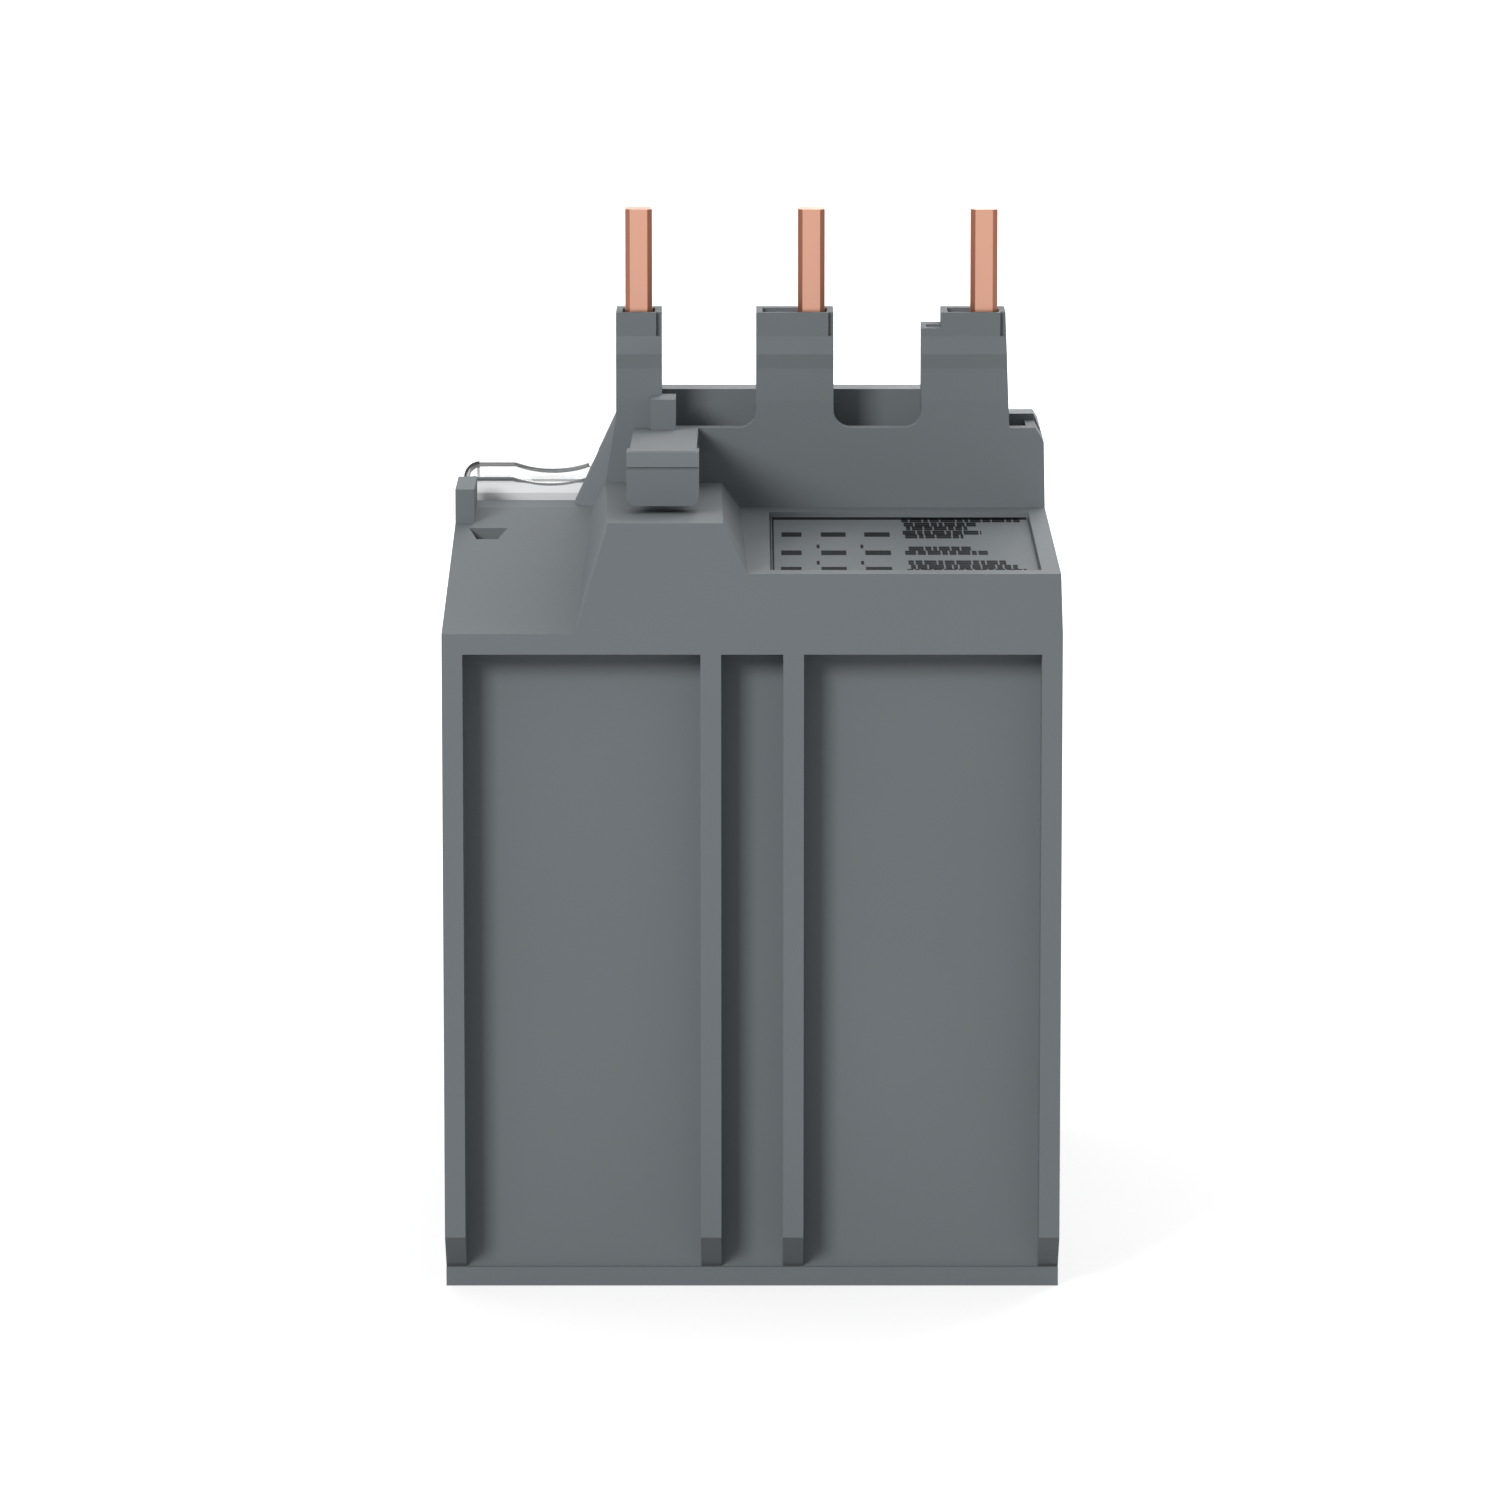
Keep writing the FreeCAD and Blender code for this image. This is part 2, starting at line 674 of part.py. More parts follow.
def trace(sketch, points):
    """Draws a closed outline in a sketch and ties its corners to the sheet."""
    corners = [FreeCAD.Vector(number(across), number(up), 0) for across, up in points]
    count = len(corners)
    lines = [Part.LineSegment(corners[i], corners[(i + 1) % count]) for i in range(count)]
    sketch.addGeometry(lines, False)
    rules = [Sketcher.Constraint("Coincident", i, 2, (i + 1) % count, 1) for i in range(count)]
    for i, corner in enumerate(corners):
        rules.append(Sketcher.Constraint("DistanceX", -1, 1, i, 1, corner.x))
        rules.append(Sketcher.Constraint("DistanceY", -1, 1, i, 1, corner.y))
    sketch.addConstraint(rules)
    for i, (across, up) in enumerate(points):
        bind(sketch, "Constraints[%d]" % (count + 2 * i), across)
        bind(sketch, "Constraints[%d]" % (count + 2 * i + 1), up)


def prism(name, plane, points, span):
    """A PartDesign body: an outline on an origin plane, padded over a span of coordinates."""
    body = DOC.addObject("PartDesign::Body", name)
    sketch = body.newObject("Sketcher::SketchObject", name + "_outline")
    origin_plane = [item for item in body.Origin.OriginFeatures if item.Role == plane][0]
    sketch.AttachmentSupport = [(origin_plane, "")]
    sketch.MapMode = "FlatFace"
    trace(sketch, points)
    low, high = span
    start = -high if plane == "XZ_Plane" else low
    bind(sketch, "AttachmentOffset.Base.z", start)
    pad = body.newObject("PartDesign::Pad", name + "_pad")
    pad.Profile = sketch
    bind(pad, "Length", high - low)
    body.Tip = pad
    return body


def loft_y(name, sections):
    """A ruled solid between outlines that stand across Y, each given as (y, points)."""
    sketches = []
    for index, (y, points) in enumerate(sections):
        sketch = DOC.addObject("Sketcher::SketchObject", "%s_section_%d" % (name, index))
        place(sketch, (0.0, y, 0.0), 90.0, (1, 0, 0))
        trace(sketch, points)
        sketches.append(sketch)
    item = DOC.addObject("Part::Loft", name)
    item.Sections = sketches
    item.Solid = True
    item.Ruled = True
    return item


def round_edges(name, base, radius, wanted):
    """Rounds the edges whose middle point and direction are wanted."""
    DOC.recompute()
    chosen = []
    for index, edge in enumerate(base.Shape.Edges, start=1):
        middle = edge.valueAt((edge.FirstParameter + edge.LastParameter) / 2)
        if wanted(middle, edge):
            chosen.append((index, number(radius), number(radius)))
    item = DOC.addObject("Part::Fillet", name)
    item.Base = base
    item.Edges = chosen
    return item


def near(first, second):
    """True where two coordinates are the same point of the outline."""
    return abs(number(first) - number(second)) < 0.01


# Snap loops on both sides that join the front mouldings to the rear one
def side_span(side, depth_out, depth_in):
    """The X span between two depths below a side face."""
    faces = ((half - depth_out) * side, (half - depth_in) * side)
    return faces if side < 0 else (faces[1], faces[0])


def snap_windows():
    """Shallow windows in the sides of the rear moulding, around the loops."""
    reach = v.snap_width / 2 + v.fit_gap
    depth = v.snap_sunk + v.snap_thick + v.fit_gap / 2
    return [box("snap_window", side_span(side, -1.0, depth),
                (v.split_y - 1.0, v.split_y + v.snap_length + v.fit_gap), (z - reach, z + reach))
            for z in (v.snap_low, v.snap_high) for side in (-1, 1)]


def snap_wedges():
    """The wedges of the rear moulding that the loops catch on."""
    reach = v.snap_width / 2 - v.snap_frame - v.fit_gap
    depth = v.snap_sunk + v.snap_thick + v.fit_gap
    front = v.split_y + v.snap_frame + v.fit_gap
    return [box("snap_wedge", side_span(side, v.snap_sunk, depth),
                (front, v.split_y + v.snap_length - v.snap_frame - v.fit_gap), (z - reach, z + reach))
            for z in (v.snap_low, v.snap_high) for side in (-1, 1)]


def snap_loops(z):
    """Two loops, one on each side, that reach from a front moulding over the rear one."""
    loops = []
    reach = v.snap_width / 2
    eye = reach - v.snap_frame
    for side in (-1, 1):
        span = side_span(side, v.snap_sunk, v.snap_sunk + v.snap_thick)
        form = box("snap_form", span, (v.split_y - 0.5, v.split_y + v.snap_length), (z - reach, z + reach))
        hole = box("snap_eye", side_span(side, -1.0, v.wall_thick),
                   (v.split_y + v.snap_frame, v.split_y + v.snap_length - v.snap_frame),
                   (z - eye, z + eye))
        loops.append(cut("snap_loop", form, [hole]))
    return loops


# Rear moulding: ribbed back, two decks, centre block, shroud wall and latch arm
def rear_shell():
    """The outer form of the rear moulding before anything is cut into it."""
    rear_outline = [
        (half, 0.0), (half, v.low_deck), (v.block_left_foot, v.low_deck),
        (v.block_left, v.block_top), (v.block_right, v.block_top),
        (v.block_right_foot, v.high_deck), (v.side_draft - half, v.high_deck),
        (-half, v.low_deck), (-half, 0.0)]
    wall_outline = [
        (half, 0.0), (half, v.high_deck), (v.block_left_far, v.high_deck),
        (v.block_left_end, v.block_end), (v.block_right_end, v.block_end),
        (v.block_right_far, v.high_deck), (v.side_draft - half, v.high_deck),
        (-half, v.low_deck), (-half, 0.0)]
    body = loft_y("rear_form", [(v.rear_y, rear_outline), (v.wall_y, wall_outline)])
    shrouds = [
        (half, 0.0), (half, v.high_deck), (v.flank_foot, v.high_deck),
        (v.shroud_l1_left, v.saddle_top + 0.8), (v.shroud_l1_left, v.shroud_top),
        (v.shroud_l1_right, v.shroud_top), (v.shroud_l1_right, v.saddle_top),
        (v.shroud_l2_left, v.saddle_top), (v.shroud_l2_left, v.shroud_top),
        (v.shroud_l2_right, v.shroud_top), (v.shroud_l2_right, v.saddle_top),
        (v.step_left, v.saddle_top), (v.step_left, v.shroud_step),
        (v.shroud_l3_left, v.shroud_step), (v.shroud_l3_left, v.shroud_top),
        (v.shroud_l3_right, v.shroud_top), (v.shroud_l3_right - 0.3, v.saddle_top),
        (v.end_round - half, v.saddle_top), (v.end_lean - half, v.wall_shoulder),
        (v.side_draft - half, v.high_deck), (-half, v.low_deck), (-half, 0.0)]
    wall = prism("shroud_wall_form", "XZ_Plane", shrouds, (v.split_y, v.wall_y))
    corners = [v.shroud_l1_right, v.shroud_l2_left, v.shroud_l2_right, v.step_left]

    def saddle_corner(middle, edge):
        upright = near(middle.z, v.saddle_top) and near(edge.Length, v.wall_y - v.split_y)
        return upright and any(near(middle.x, corner) for corner in corners)

    wall = round_edges("shroud_wall", wall, v.saddle_round, saddle_corner)
    return fuse("rear_outer", [body, wall])


def latch_arm():
    """The springy arm over the block that hooks into the contactor, and the tab on its root."""
    tip = v.nose_end
    root = v.nose_end - v.nose_length
    top = v.saddle_top
    chin = top + v.nose_chin
    head = top + v.nose_rise
    arm = prism("arm_form", "YZ_Plane",
                [(v.wall_y - 1.0, top - v.arm_thick), (v.wall_y, top - v.arm_thick),
                 (root, head - v.arm_thick), (tip - v.nose_slope * 2, head - v.arm_thick),
                 (tip - v.nose_slope * 2, head), (v.wall_y, top), (v.wall_y - 1.0, top)],
                (v.arm_right, v.arm_left))
    nose = prism("nose_form", "YZ_Plane",
                 [(root, v.nose_drop), (tip, v.nose_drop), (tip, chin),
                  (tip - v.nose_groove, chin), (tip - v.nose_groove, chin + v.groove_height),
                  (tip - v.nose_groove / 4, chin + v.groove_height),
                  (tip - v.nose_slope, head), (root, head - v.nose_chin / 2)],
                 (v.arm_right - v.nose_wide, v.arm_left + v.nose_wide))

    def lower_side(middle, edge):
        return near(middle.z, v.nose_drop) and near(edge.Length, v.nose_length)

    nose = round_edges("nose_round", nose, v.nose_round, lower_side)
    tab = box("arm_tab", (v.tab_right, v.tab_left), (v.wall_y - 1.0, v.wall_y + v.tab_depth),
              (top - 0.5, v.tab_top))
    return [arm, nose, tab]


def rear_cuts():
    """Everything that is open in the rear moulding."""
    cuts = []
    floor = v.rear_y - v.recess_depth
    past = v.rear_y + 1.0
    rib = v.rail_width / 2
    bays = [(v.rail_width - half, -v.rib_x - rib), (rib - v.rib_x, v.rib_x - rib),
            (v.rib_x + rib, half - v.rail_width)]
    for index, bay in enumerate(bays):
        cuts.append(box("rear_bay_%d" % index, bay, (floor, past), (v.sill_height, v.recess_top)))
    cuts.append(prism("rib_foot_cut", "YZ_Plane",
                      [(v.rear_y, v.rib_foot), (floor, v.sill_height),
                       (floor + v.sill_proud, v.sill_height), (floor + v.sill_proud, -1.0),
                       (past, -1.0), (past, v.rib_foot)],
                      (-half - 1.0, half + 1.0)))
    walls = [v.pole_first + v.pole_pitch * (0.5 - index) for index in range(3)]
    lefts = [half - v.wall_thick] + [wall - v.partition / 2 for wall in walls]
    rights = [wall + v.partition / 2 for wall in walls] + [v.wall_thick - half]
    for index, (left, right) in enumerate(zip(lefts, rights)):
        cuts.append(box("chamber_%d" % index, (right, left), (v.split_y - 1.0, v.chamber_rear),
                        (v.chamber_floor, v.chamber_top)))
    slot_z = (v.slide_bottom - v.fit_gap, v.slide_bottom + v.slide_thick + v.fit_gap)
    slot_y = (v.strip_y - v.slide_bar - v.slide_gap, v.strip_y + v.slide_bar + v.slide_gap)
    cuts.append(box("slide_channel", (v.wall_thick - half, half - v.wall_thick), slot_y, slot_z))
    arm_right = v.lever_x - v.blade_thick / 2 - v.fit_gap - v.slide_arm - v.fit_gap * 2
    cuts.append(box("slide_arm_channel", (arm_right, half - v.wall_thick),
                    (v.split_y - 1.0, slot_y[1]), slot_z))
    shrouds = [(v.shroud_l1_right, v.shroud_l1_left), (v.shroud_l2_right, v.shroud_l2_left),
               (v.shroud_l3_right, v.shroud_l3_left)]
    clear = v.pin_depth / 2 + v.fit_gap
    for index, (right, left) in enumerate(shrouds):
        cuts.append(box("shroud_bore_%d" % index, (right + v.shroud_wall, left - v.shroud_wall),
                        (v.pin_y - clear, v.pin_y + clear),
                        (v.chamber_top - 1.0, v.shroud_top + 1.0)))
    cuts.append(box("plate_pocket", (v.plate_right, v.plate_left), (v.plate_front, v.plate_rear),
                    (v.high_deck - v.plate_depth, v.high_deck + 1.0)))
    cuts.append(prism("key_slot", "XY_Plane",
                      [(v.slot_right, v.slot_front), (v.slot_left, v.slot_front),
                       (v.slot_left - v.slot_taper, v.slot_rear),
                       (v.slot_right + v.slot_taper, v.slot_rear)],
                      (v.high_deck - 1.0 - v.slot_depth, v.high_deck + 1.0)))
    cuts.append(box("cover_clearance", (v.front_left, half + 1.0),
                    (v.split_y - 1.0, v.cover_rear + 1.2), (v.column_top - 1.0, v.shroud_top)))
    return cuts + shroud_cuts(shrouds) + snap_windows()


def shroud_cuts(shrouds):
    """The stepped caps of the shrouds, the pockets between them and the facet on the wall's end."""
    band = v.shroud_top - v.cap_height
    ledge = band - v.cap_slope
    cuts = [prism("cap_profile", "YZ_Plane",
                  [(v.wall_y - v.cap_step, v.shroud_top + 1.0), (v.wall_y - v.cap_step, band),
                   (v.wall_y, ledge), (v.wall_y - v.hollow_depth, ledge - v.hollow_fall),
                   (v.wall_y, ledge - v.hollow_height), (v.wall_y + 1.0, ledge - v.hollow_height),
                   (v.wall_y + 1.0, v.shroud_top + 1.0)],
                  (-half - 1.0, half + 1.0))]
    for index, (right, left) in enumerate(shrouds):
        cuts.append(box("cap_notch_%d" % index, (right - 1.0, right + v.cap_notch),
                        (v.wall_y - v.cap_step * 2, v.wall_y + 1.0), (band, v.shroud_top + 1.0)))
    pockets = [(v.shroud_l2_left, v.shroud_l1_right), (v.step_left, v.shroud_l2_right),
               (v.wall_thick - half, v.shroud_l3_right - 0.3)]
    for index, pocket in enumerate(pockets):
        cuts.append(box("saddle_pocket_%d" % index, pocket,
                        (v.split_y - 1.0, v.wall_y - v.saddle_wall),
                        (v.saddle_top - v.saddle_pocket, v.saddle_top + 1.0)))
    cuts.append(box("step_pocket", (v.shroud_l3_left, v.step_left - v.step_rim),
                    (v.pin_y - v.step_rim * 2, v.wall_y - v.saddle_wall),
                    (v.shroud_step - v.step_rim * 4, v.shroud_step + 1.0)))
    foot = v.flank_foot
    head = v.saddle_top + 0.8
    outside = [(foot + 1.0, v.high_deck), (v.shroud_l1_left + 1.0, head)]
    cuts.append(loft_y("wall_facet", [
        (v.wall_y, [(v.shroud_l1_left, head), (foot - v.facet_foot, v.high_deck)] + outside),
        (v.wall_y - v.facet_foot, [(v.shroud_l1_left, head), (foot, v.high_deck)] + outside)]))
    return cuts


def rear_housing():
    """The rear moulding with its cuts, the latch arm and the cheek beside the cover."""
    body = cut("rear_open", rear_shell(), rear_cuts())
    cheek = box("cover_cheek", (half - v.cheek_thick, half), (v.cheek_front, v.cheek_rear),
                (v.low_deck, v.cheek_top))
    return fuse("rear_housing", [body, cheek] + snap_wedges() + latch_arm())


# Front mouldings
def power_block():
    """The lower moulding that houses the three load terminals."""
    wall = v.wall_thick
    body = box("power_form", (-half, half), (v.power_y, v.split_y), (0.0, v.power_top))
    cuts = []
    depth = (v.power_y + wall, v.split_y + 1.0)
    rise = (wall, v.power_top - wall)
    for index, x in enumerate(LOADS):
        room = v.load_chamber_width / 2
        cuts.append(box("load_chamber_%d" % index, (x - room, x + room), depth, rise))
        cuts.append(rod_y("load_funnel_%d" % index, v.load_funnel, x, v.load_screw_z,
                          (v.power_y - 1.0, v.power_y + wall + 1.0)))
        entry = v.entry_width / 2
        cuts.append(box("wire_entry_%d" % index, (x - entry, x + entry),
                        (v.entry_front, v.entry_rear), (-1.0, wall + 1.0)))
    for index in range(2):
        middle = (LOADS[index] + LOADS[index + 1]) / 2
        room = (v.load_pitch - v.load_chamber_width) / 2 - v.partition
        cuts.append(box("relief_%d" % index, (middle - room, middle + room), depth, rise))
    cuts.append(box("jog_channel", (wall - half, half - wall),
                    (v.split_y - v.jog_depth, v.split_y + 1.0),
                    (v.load_strip_top - v.load_thick - v.fit_gap, v.power_top - wall)))
    cuts.append(box("load_marker_field", (wall - half, half - wall),
                    (v.power_y - 1.0, v.power_y + v.field_depth),
                    (v.power_top - wall - v.marker_height, v.power_top - wall)))
    barriers = []
    reach = v.barrier_thick / 2
    middles = [(LOADS[0] + LOADS[1]) / 2, (LOADS[1] + LOADS[2]) / 2, half - reach, reach - half]
    for index, x in enumerate(middles):
        barriers.append(box("barrier_%d" % index, (x - reach, x + reach),
                            (v.power_y - v.barrier_deep, v.power_y + v.field_depth + 0.1), (0.0, v.power_top)))
    return fuse("power_block", [cut("power_open", body, cuts)] + barriers + snap_loops(v.snap_low))


def front_form():
    """The outer form of the control moulding: panel block, low column and terminal deck."""
    step = v.front_slope - v.front_lean
    panel = prism("panel_form", "XZ_Plane",
                  [(half, v.aux_top), (half, v.column_top), (v.front_left, v.column_top),
                   (v.front_left, v.front_left_low), (v.front_left - v.front_lean, v.front_top),
                   (v.front_slope, v.front_top), (step, v.front_shoulder),
                   (v.end_round - half, v.front_shoulder), (v.end_lean - half, v.wall_shoulder),
                   (-half, v.high_deck), (-half, v.aux_top)],
                  (v.panel_y, v.split_y))
    lip = v.split_y - v.lip_depth
    slopes = []
    for index, (span, top) in enumerate([((step, half), v.front_top),
                                         ((-half - 1.0, step), v.front_shoulder)]):
        slopes.append(prism("front_fall_%d" % index, "YZ_Plane",
                            [(lip, top), (v.panel_y, top - v.front_fall),
                             (v.panel_y - 1.0, top - v.front_fall), (v.panel_y - 1.0, top + 1.0),
                             (lip, top + 1.0)], span))
    panel = cut("panel_sloped", panel, slopes)
    deck = box("deck_form", (-half, half), (v.aux_y, v.split_y), (v.power_top, v.aux_top))
    return fuse("front_form", [panel, deck])


def front_cuts():
    """Hollows, holes and windows of the control moulding."""
    wall = v.wall_thick
    inner = half - wall
    back = v.split_y + 1.0
    cuts = [
        box("deck_hollow", (-inner, inner), (v.aux_y + wall, back),
            (v.power_top + wall, v.aux_top + wall + 0.1)),
        box("panel_hollow", (-inner, v.front_left - wall), (v.panel_y + wall, back),
            (v.aux_top + wall, v.hollow_top)),
        box("column_hollow", (v.front_left - wall - 0.1, inner), (v.panel_y + wall, back),
            (v.aux_top + wall, v.column_top - wall)),
        rod_y("dial_hole", v.dial_shaft + v.run_gap, v.dial_x, v.dial_z,
              (v.panel_y - 1.0, v.panel_y + wall + 1.0)),
        rod_y("reset_hole", v.reset_radius + v.collar_thick + v.run_gap * 2, v.reset_x, v.button_z,
              (v.panel_y - 1.0, v.panel_y + wall + 1.0)),
        rod_y("stop_hole", v.stop_radius + v.run_gap, v.stop_x, v.button_z,
              (v.panel_y - 1.0, v.panel_y + wall + 1.0)),
        rod_y("test_hole", v.test_radius + v.run_gap, v.dial_x, v.test_z,
              (v.panel_y - 1.0, v.panel_y + wall + 1.0)),
    ]
    edge = v.flag_x - v.flag_width / 2 - 0.1
    cuts.append(box("flag_window_cut", (edge - v.flag_window, edge),
                    (v.panel_y - 1.0, v.panel_y + wall + 1.0),
                    (v.aux_top + wall + 0.6, v.flag_top - 0.2)))
    high = v.button_z + v.stop_radius + v.field_margin * 2
    cuts.append(box("button_field", (v.stop_x - v.stop_radius - v.field_margin * 2,
                                     v.reset_x + v.stop_radius + v.field_margin * 2),
                    (v.panel_y - 1.0, v.panel_y + v.field_depth),
                    (v.button_z * 2 - high, high)))
    cuts.append(box("aux_marker_field", (wall - half, half - wall),
                    (v.aux_y - 1.0, v.aux_y + v.field_depth),
                    (v.aux_top - wall - v.marker_height, v.aux_top - wall)))
    slot = v.vent_width / 2
    for index in range(6):
        x = v.reset_x + v.vent_pitch * (index - 3.5)
        cuts.append(box("vent_%d" % index, (x - slot, x + slot),
                        (v.panel_y + wall * 3, v.panel_y + wall * 3 + v.vent_length),
                        (v.front_top - v.front_fall - v.vent_depth, v.front_top + 1.0)))
    room = v.aux_entry_width / 2
    for index, x in enumerate(AUX):
        cuts.append(rod_y("aux_pocket_%d" % index, v.aux_pocket, x, v.aux_z,
                          (v.aux_y - 1.0, v.aux_y + wall + 1.0)))
        cuts.append(box("aux_entry_%d" % index, (x - room, x + room),
                        (v.aux_y + 0.7, v.power_y - 0.1), (v.power_top - 1.0, v.aux_z - 1.0)))
    return cuts


def cover_lugs():
    """The two ears on the column that carry the cover's pins."""
    lugs = []
    start = v.cover_wall + v.fit_gap
    spans = [(v.cover_right + start, v.cover_right + start + v.lug_thick),
             (v.cover_left - start - v.lug_thick, v.cover_left - start)]
    radius = v.hinge_pin + v.lug_rim
    for index, (low, high) in enumerate(spans):
        front = v.hinge_y - radius - v.lug_foot
        ear = fuse("ear_%d" % index, [
            box("ear_foot_%d" % index, (low, high), (front, front + v.lug_foot),
                (v.column_top - 0.5, v.hinge_z)),
            box("ear_neck_%d" % index, (low, high), (front, v.hinge_y),
                (v.hinge_z - radius, v.hinge_z + radius)),
            cylinder("ear_head_%d" % index, radius, "x", (low, v.hinge_y, v.hinge_z), v.lug_thick)])
        hole = cylinder("ear_hole_%d" % index, v.hinge_pin + v.run_gap, "x",
                        (low - 0.5, v.hinge_y, v.hinge_z), v.lug_thick + 1.0)
        lugs.append(cut("lug_%d" % index, ear, [hole]))
    return lugs


def front_housing():
    """The control moulding with its terminal ribs, carrier web and cover lugs."""
    body = cut("front_open", front_form(), front_cuts())
    floor = v.power_top + v.wall_thick - 0.1
    ribs = []
    for index in range(3):
        middle = (AUX[index] + AUX[index + 1]) / 2
        ribs.append(box("aux_rib_%d" % index, (middle - v.partition / 2, middle + v.partition / 2),
                        (v.aux_y + v.wall_thick - 0.1, v.aux_plate_y - v.aux_thick - v.fit_gap),
                        (floor, v.aux_top - 1.0)))
    web = box("carrier_web", (v.no_plane + v.web_gap, v.lever_x - v.web_end),
              (v.carrier_front + v.web_side, v.carrier_rear - v.web_side),
              (floor, v.carrier_bottom - v.fit_gap))
    return fuse("front_housing", [body, web] + ribs + cover_lugs() + snap_loops(v.snap_high))


def rating_label():
    """The bare rating label in the pocket of the right deck."""
    edge = 0.1
    bottom = v.high_deck - v.plate_depth
    return box("rating_label", (v.plate_right + edge, v.plate_left - edge),
               (v.plate_front + edge, v.plate_rear - edge), (bottom, bottom + v.label_thick))


# Current path of each pole: line pin, heater, bimetal strip, load conductor
def line_conductor(index):
    """A square-edged copper pin with its lead to the heater."""
    x = POLES[index]
    side = v.pin_width / 2
    deep = v.pin_depth / 2
    cham = v.pin_chamfer
    y = v.pin_y
    name = "line_conductor_l%d" % (index + 1)
    bar = prism("pin_%d" % index, "XY_Plane",
                [(x - side, y - deep + cham), (x - side + cham, y - deep), (x + side - cham, y - deep),
                 (x + side, y - deep + cham), (x + side, y + deep - cham), (x + side - cham, y + deep),
                 (x - side + cham, y + deep), (x - side, y + deep - cham)],
                (v.lead_bottom, v.pin_top))
    heater_front = v.strip_y - v.strip_width / 2 - v.sleeve_thick - v.heater_gap - v.heater_wire
    lead = box("lead_%d" % index, (x - side, x + side), (y, heater_front - v.fit_gap),
               (v.lead_bottom, v.lead_bottom + v.lead_thick))
    return fuse(name, [bar, lead])


def strip_span(extra):
    """The Y span of a bimetal strip grown by an amount on each side."""
    return (v.strip_y - v.strip_width / 2 - extra, v.strip_y + v.strip_width / 2 + extra)


def bimetal_strip(index):
    """The bimetal strip that bends as its heater warms it."""
    x = POLES[index]
    blade = box("strip_blade_%d" % index, (x - v.strip_thick / 2, x + v.strip_thick / 2),
                strip_span(0.0), (v.strip_foot, v.strip_top))
    foot = rod_y("strip_foot_%d" % index, v.foot_knuckle, x, v.strip_foot, strip_span(0.0))
    bore = rod_y("strip_bore_%d" % index, v.foot_pin + v.run_gap, x, v.strip_foot, strip_span(1.0))
    return cut("bimetal_strip_l%d" % (index + 1), fuse("strip_form_%d" % index, [blade, foot]), [bore])


def insulating_sleeve(index):
    """The flat sleeve between a strip and its heater."""
    x = POLES[index]
    name = "insulating_sleeve_l%d" % (index + 1)
    outer = v.strip_thick / 2 + v.sleeve_thick
    shell = box("sleeve_form_%d" % index, (x - outer, x + outer), strip_span(v.sleeve_thick),
                (v.sleeve_bottom, v.sleeve_top))
    core = box("sleeve_core_%d" % index, (x - v.strip_thick / 2, x + v.strip_thick / 2),
               strip_span(0.0), (v.sleeve_bottom - 1.0, v.sleeve_top + 1.0))
    return cut(name, shell, [core])


def heater_winding(index):
    """The heater band, wound in a squared helix around the sleeve."""
    x = number(POLES[index])
    side = number(v.strip_thick) / 2 + number(v.sleeve_thick + v.heater_gap) + number(v.heater_wire) / 2
    deep = number(v.strip_width) / 2 + number(v.sleeve_thick + v.heater_gap) + number(v.heater_wire) / 2
    corners = [(-side, -deep), (side, -deep), (side, deep), (-side, deep)]
    pitch = number(v.heater_pitch)
    bottom = number(v.heater_bottom)
    turns = int((number(v.lead_bottom + v.lead_thick) - bottom) / pitch)
    points = []
    for step in range(4 * turns + 1):
        dx, dy = corners[step % 4]
        points.append(FreeCAD.Vector(x + dx, number(v.strip_y) + dy, bottom + pitch * step / 4))
    path = Part.makePolygon(points)
    along = (points[1] - points[0]).normalize()
    across = along.cross(FreeCAD.Vector(0, 1, 0)).normalize()
    reach = number(v.heater_wire) / 2
    start = points[0]
    other = FreeCAD.Vector(0, 1, 0)
    square = [start + across * reach * i + other * reach * j
              for i, j in ((-1, -1), (1, -1), (1, 1), (-1, 1), (-1, -1))]
    item = DOC.addObject("Part::Feature", "heater_winding_l%d" % (index + 1))
    item.Shape = path.makePipeShell([Part.makePolygon(square)], True, False, 1)
    return item


def load_conductor(index):
    """The copper strip from a terminal plate to the ears and pin that carry a bimetal foot."""
    x = POLES[index]
    end = LOADS[index]
    side = v.load_width / 2
    wide = v.load_plate_width / 2
    front = v.load_plate_y - v.load_thick
    cross = v.split_y - v.fit_gap
    front_ear, rear_ear = strip_span(v.fit_gap)
    rear = rear_ear + v.foot_ear
    z = (v.load_strip_top - v.load_thick, v.load_strip_top)
    strip = prism("load_strip_%d" % index, "XY_Plane",
                  [(x - side, rear), (x - side, v.load_plate_y), (end - wide, v.load_plate_y),
                   (end - wide, front), (end + wide, front), (end + wide, cross),
                   (x + side, cross), (x + side, rear)], z)
    plate = box("load_plate_%d" % index, (end - wide, end + wide), (front, v.load_plate_y),
                (v.load_plate_bottom, v.load_strip_top))
    knuckle = (x - v.foot_knuckle, x + v.foot_knuckle)
    rise = (v.load_strip_top - v.load_thick, v.strip_foot + v.foot_knuckle)
    ears = [box("foot_ear_%d_%d" % (index, place_), knuckle, (low, low + v.foot_ear), rise)
            for place_, low in enumerate((front_ear - v.foot_ear, rear_ear))]
    pin = rod_y("foot_pin_%d" % index, v.foot_pin, x, v.strip_foot, (front_ear - v.foot_ear, rear))
    return fuse("load_conductor_t%d" % (index + 1), [strip, plate, pin] + ears)


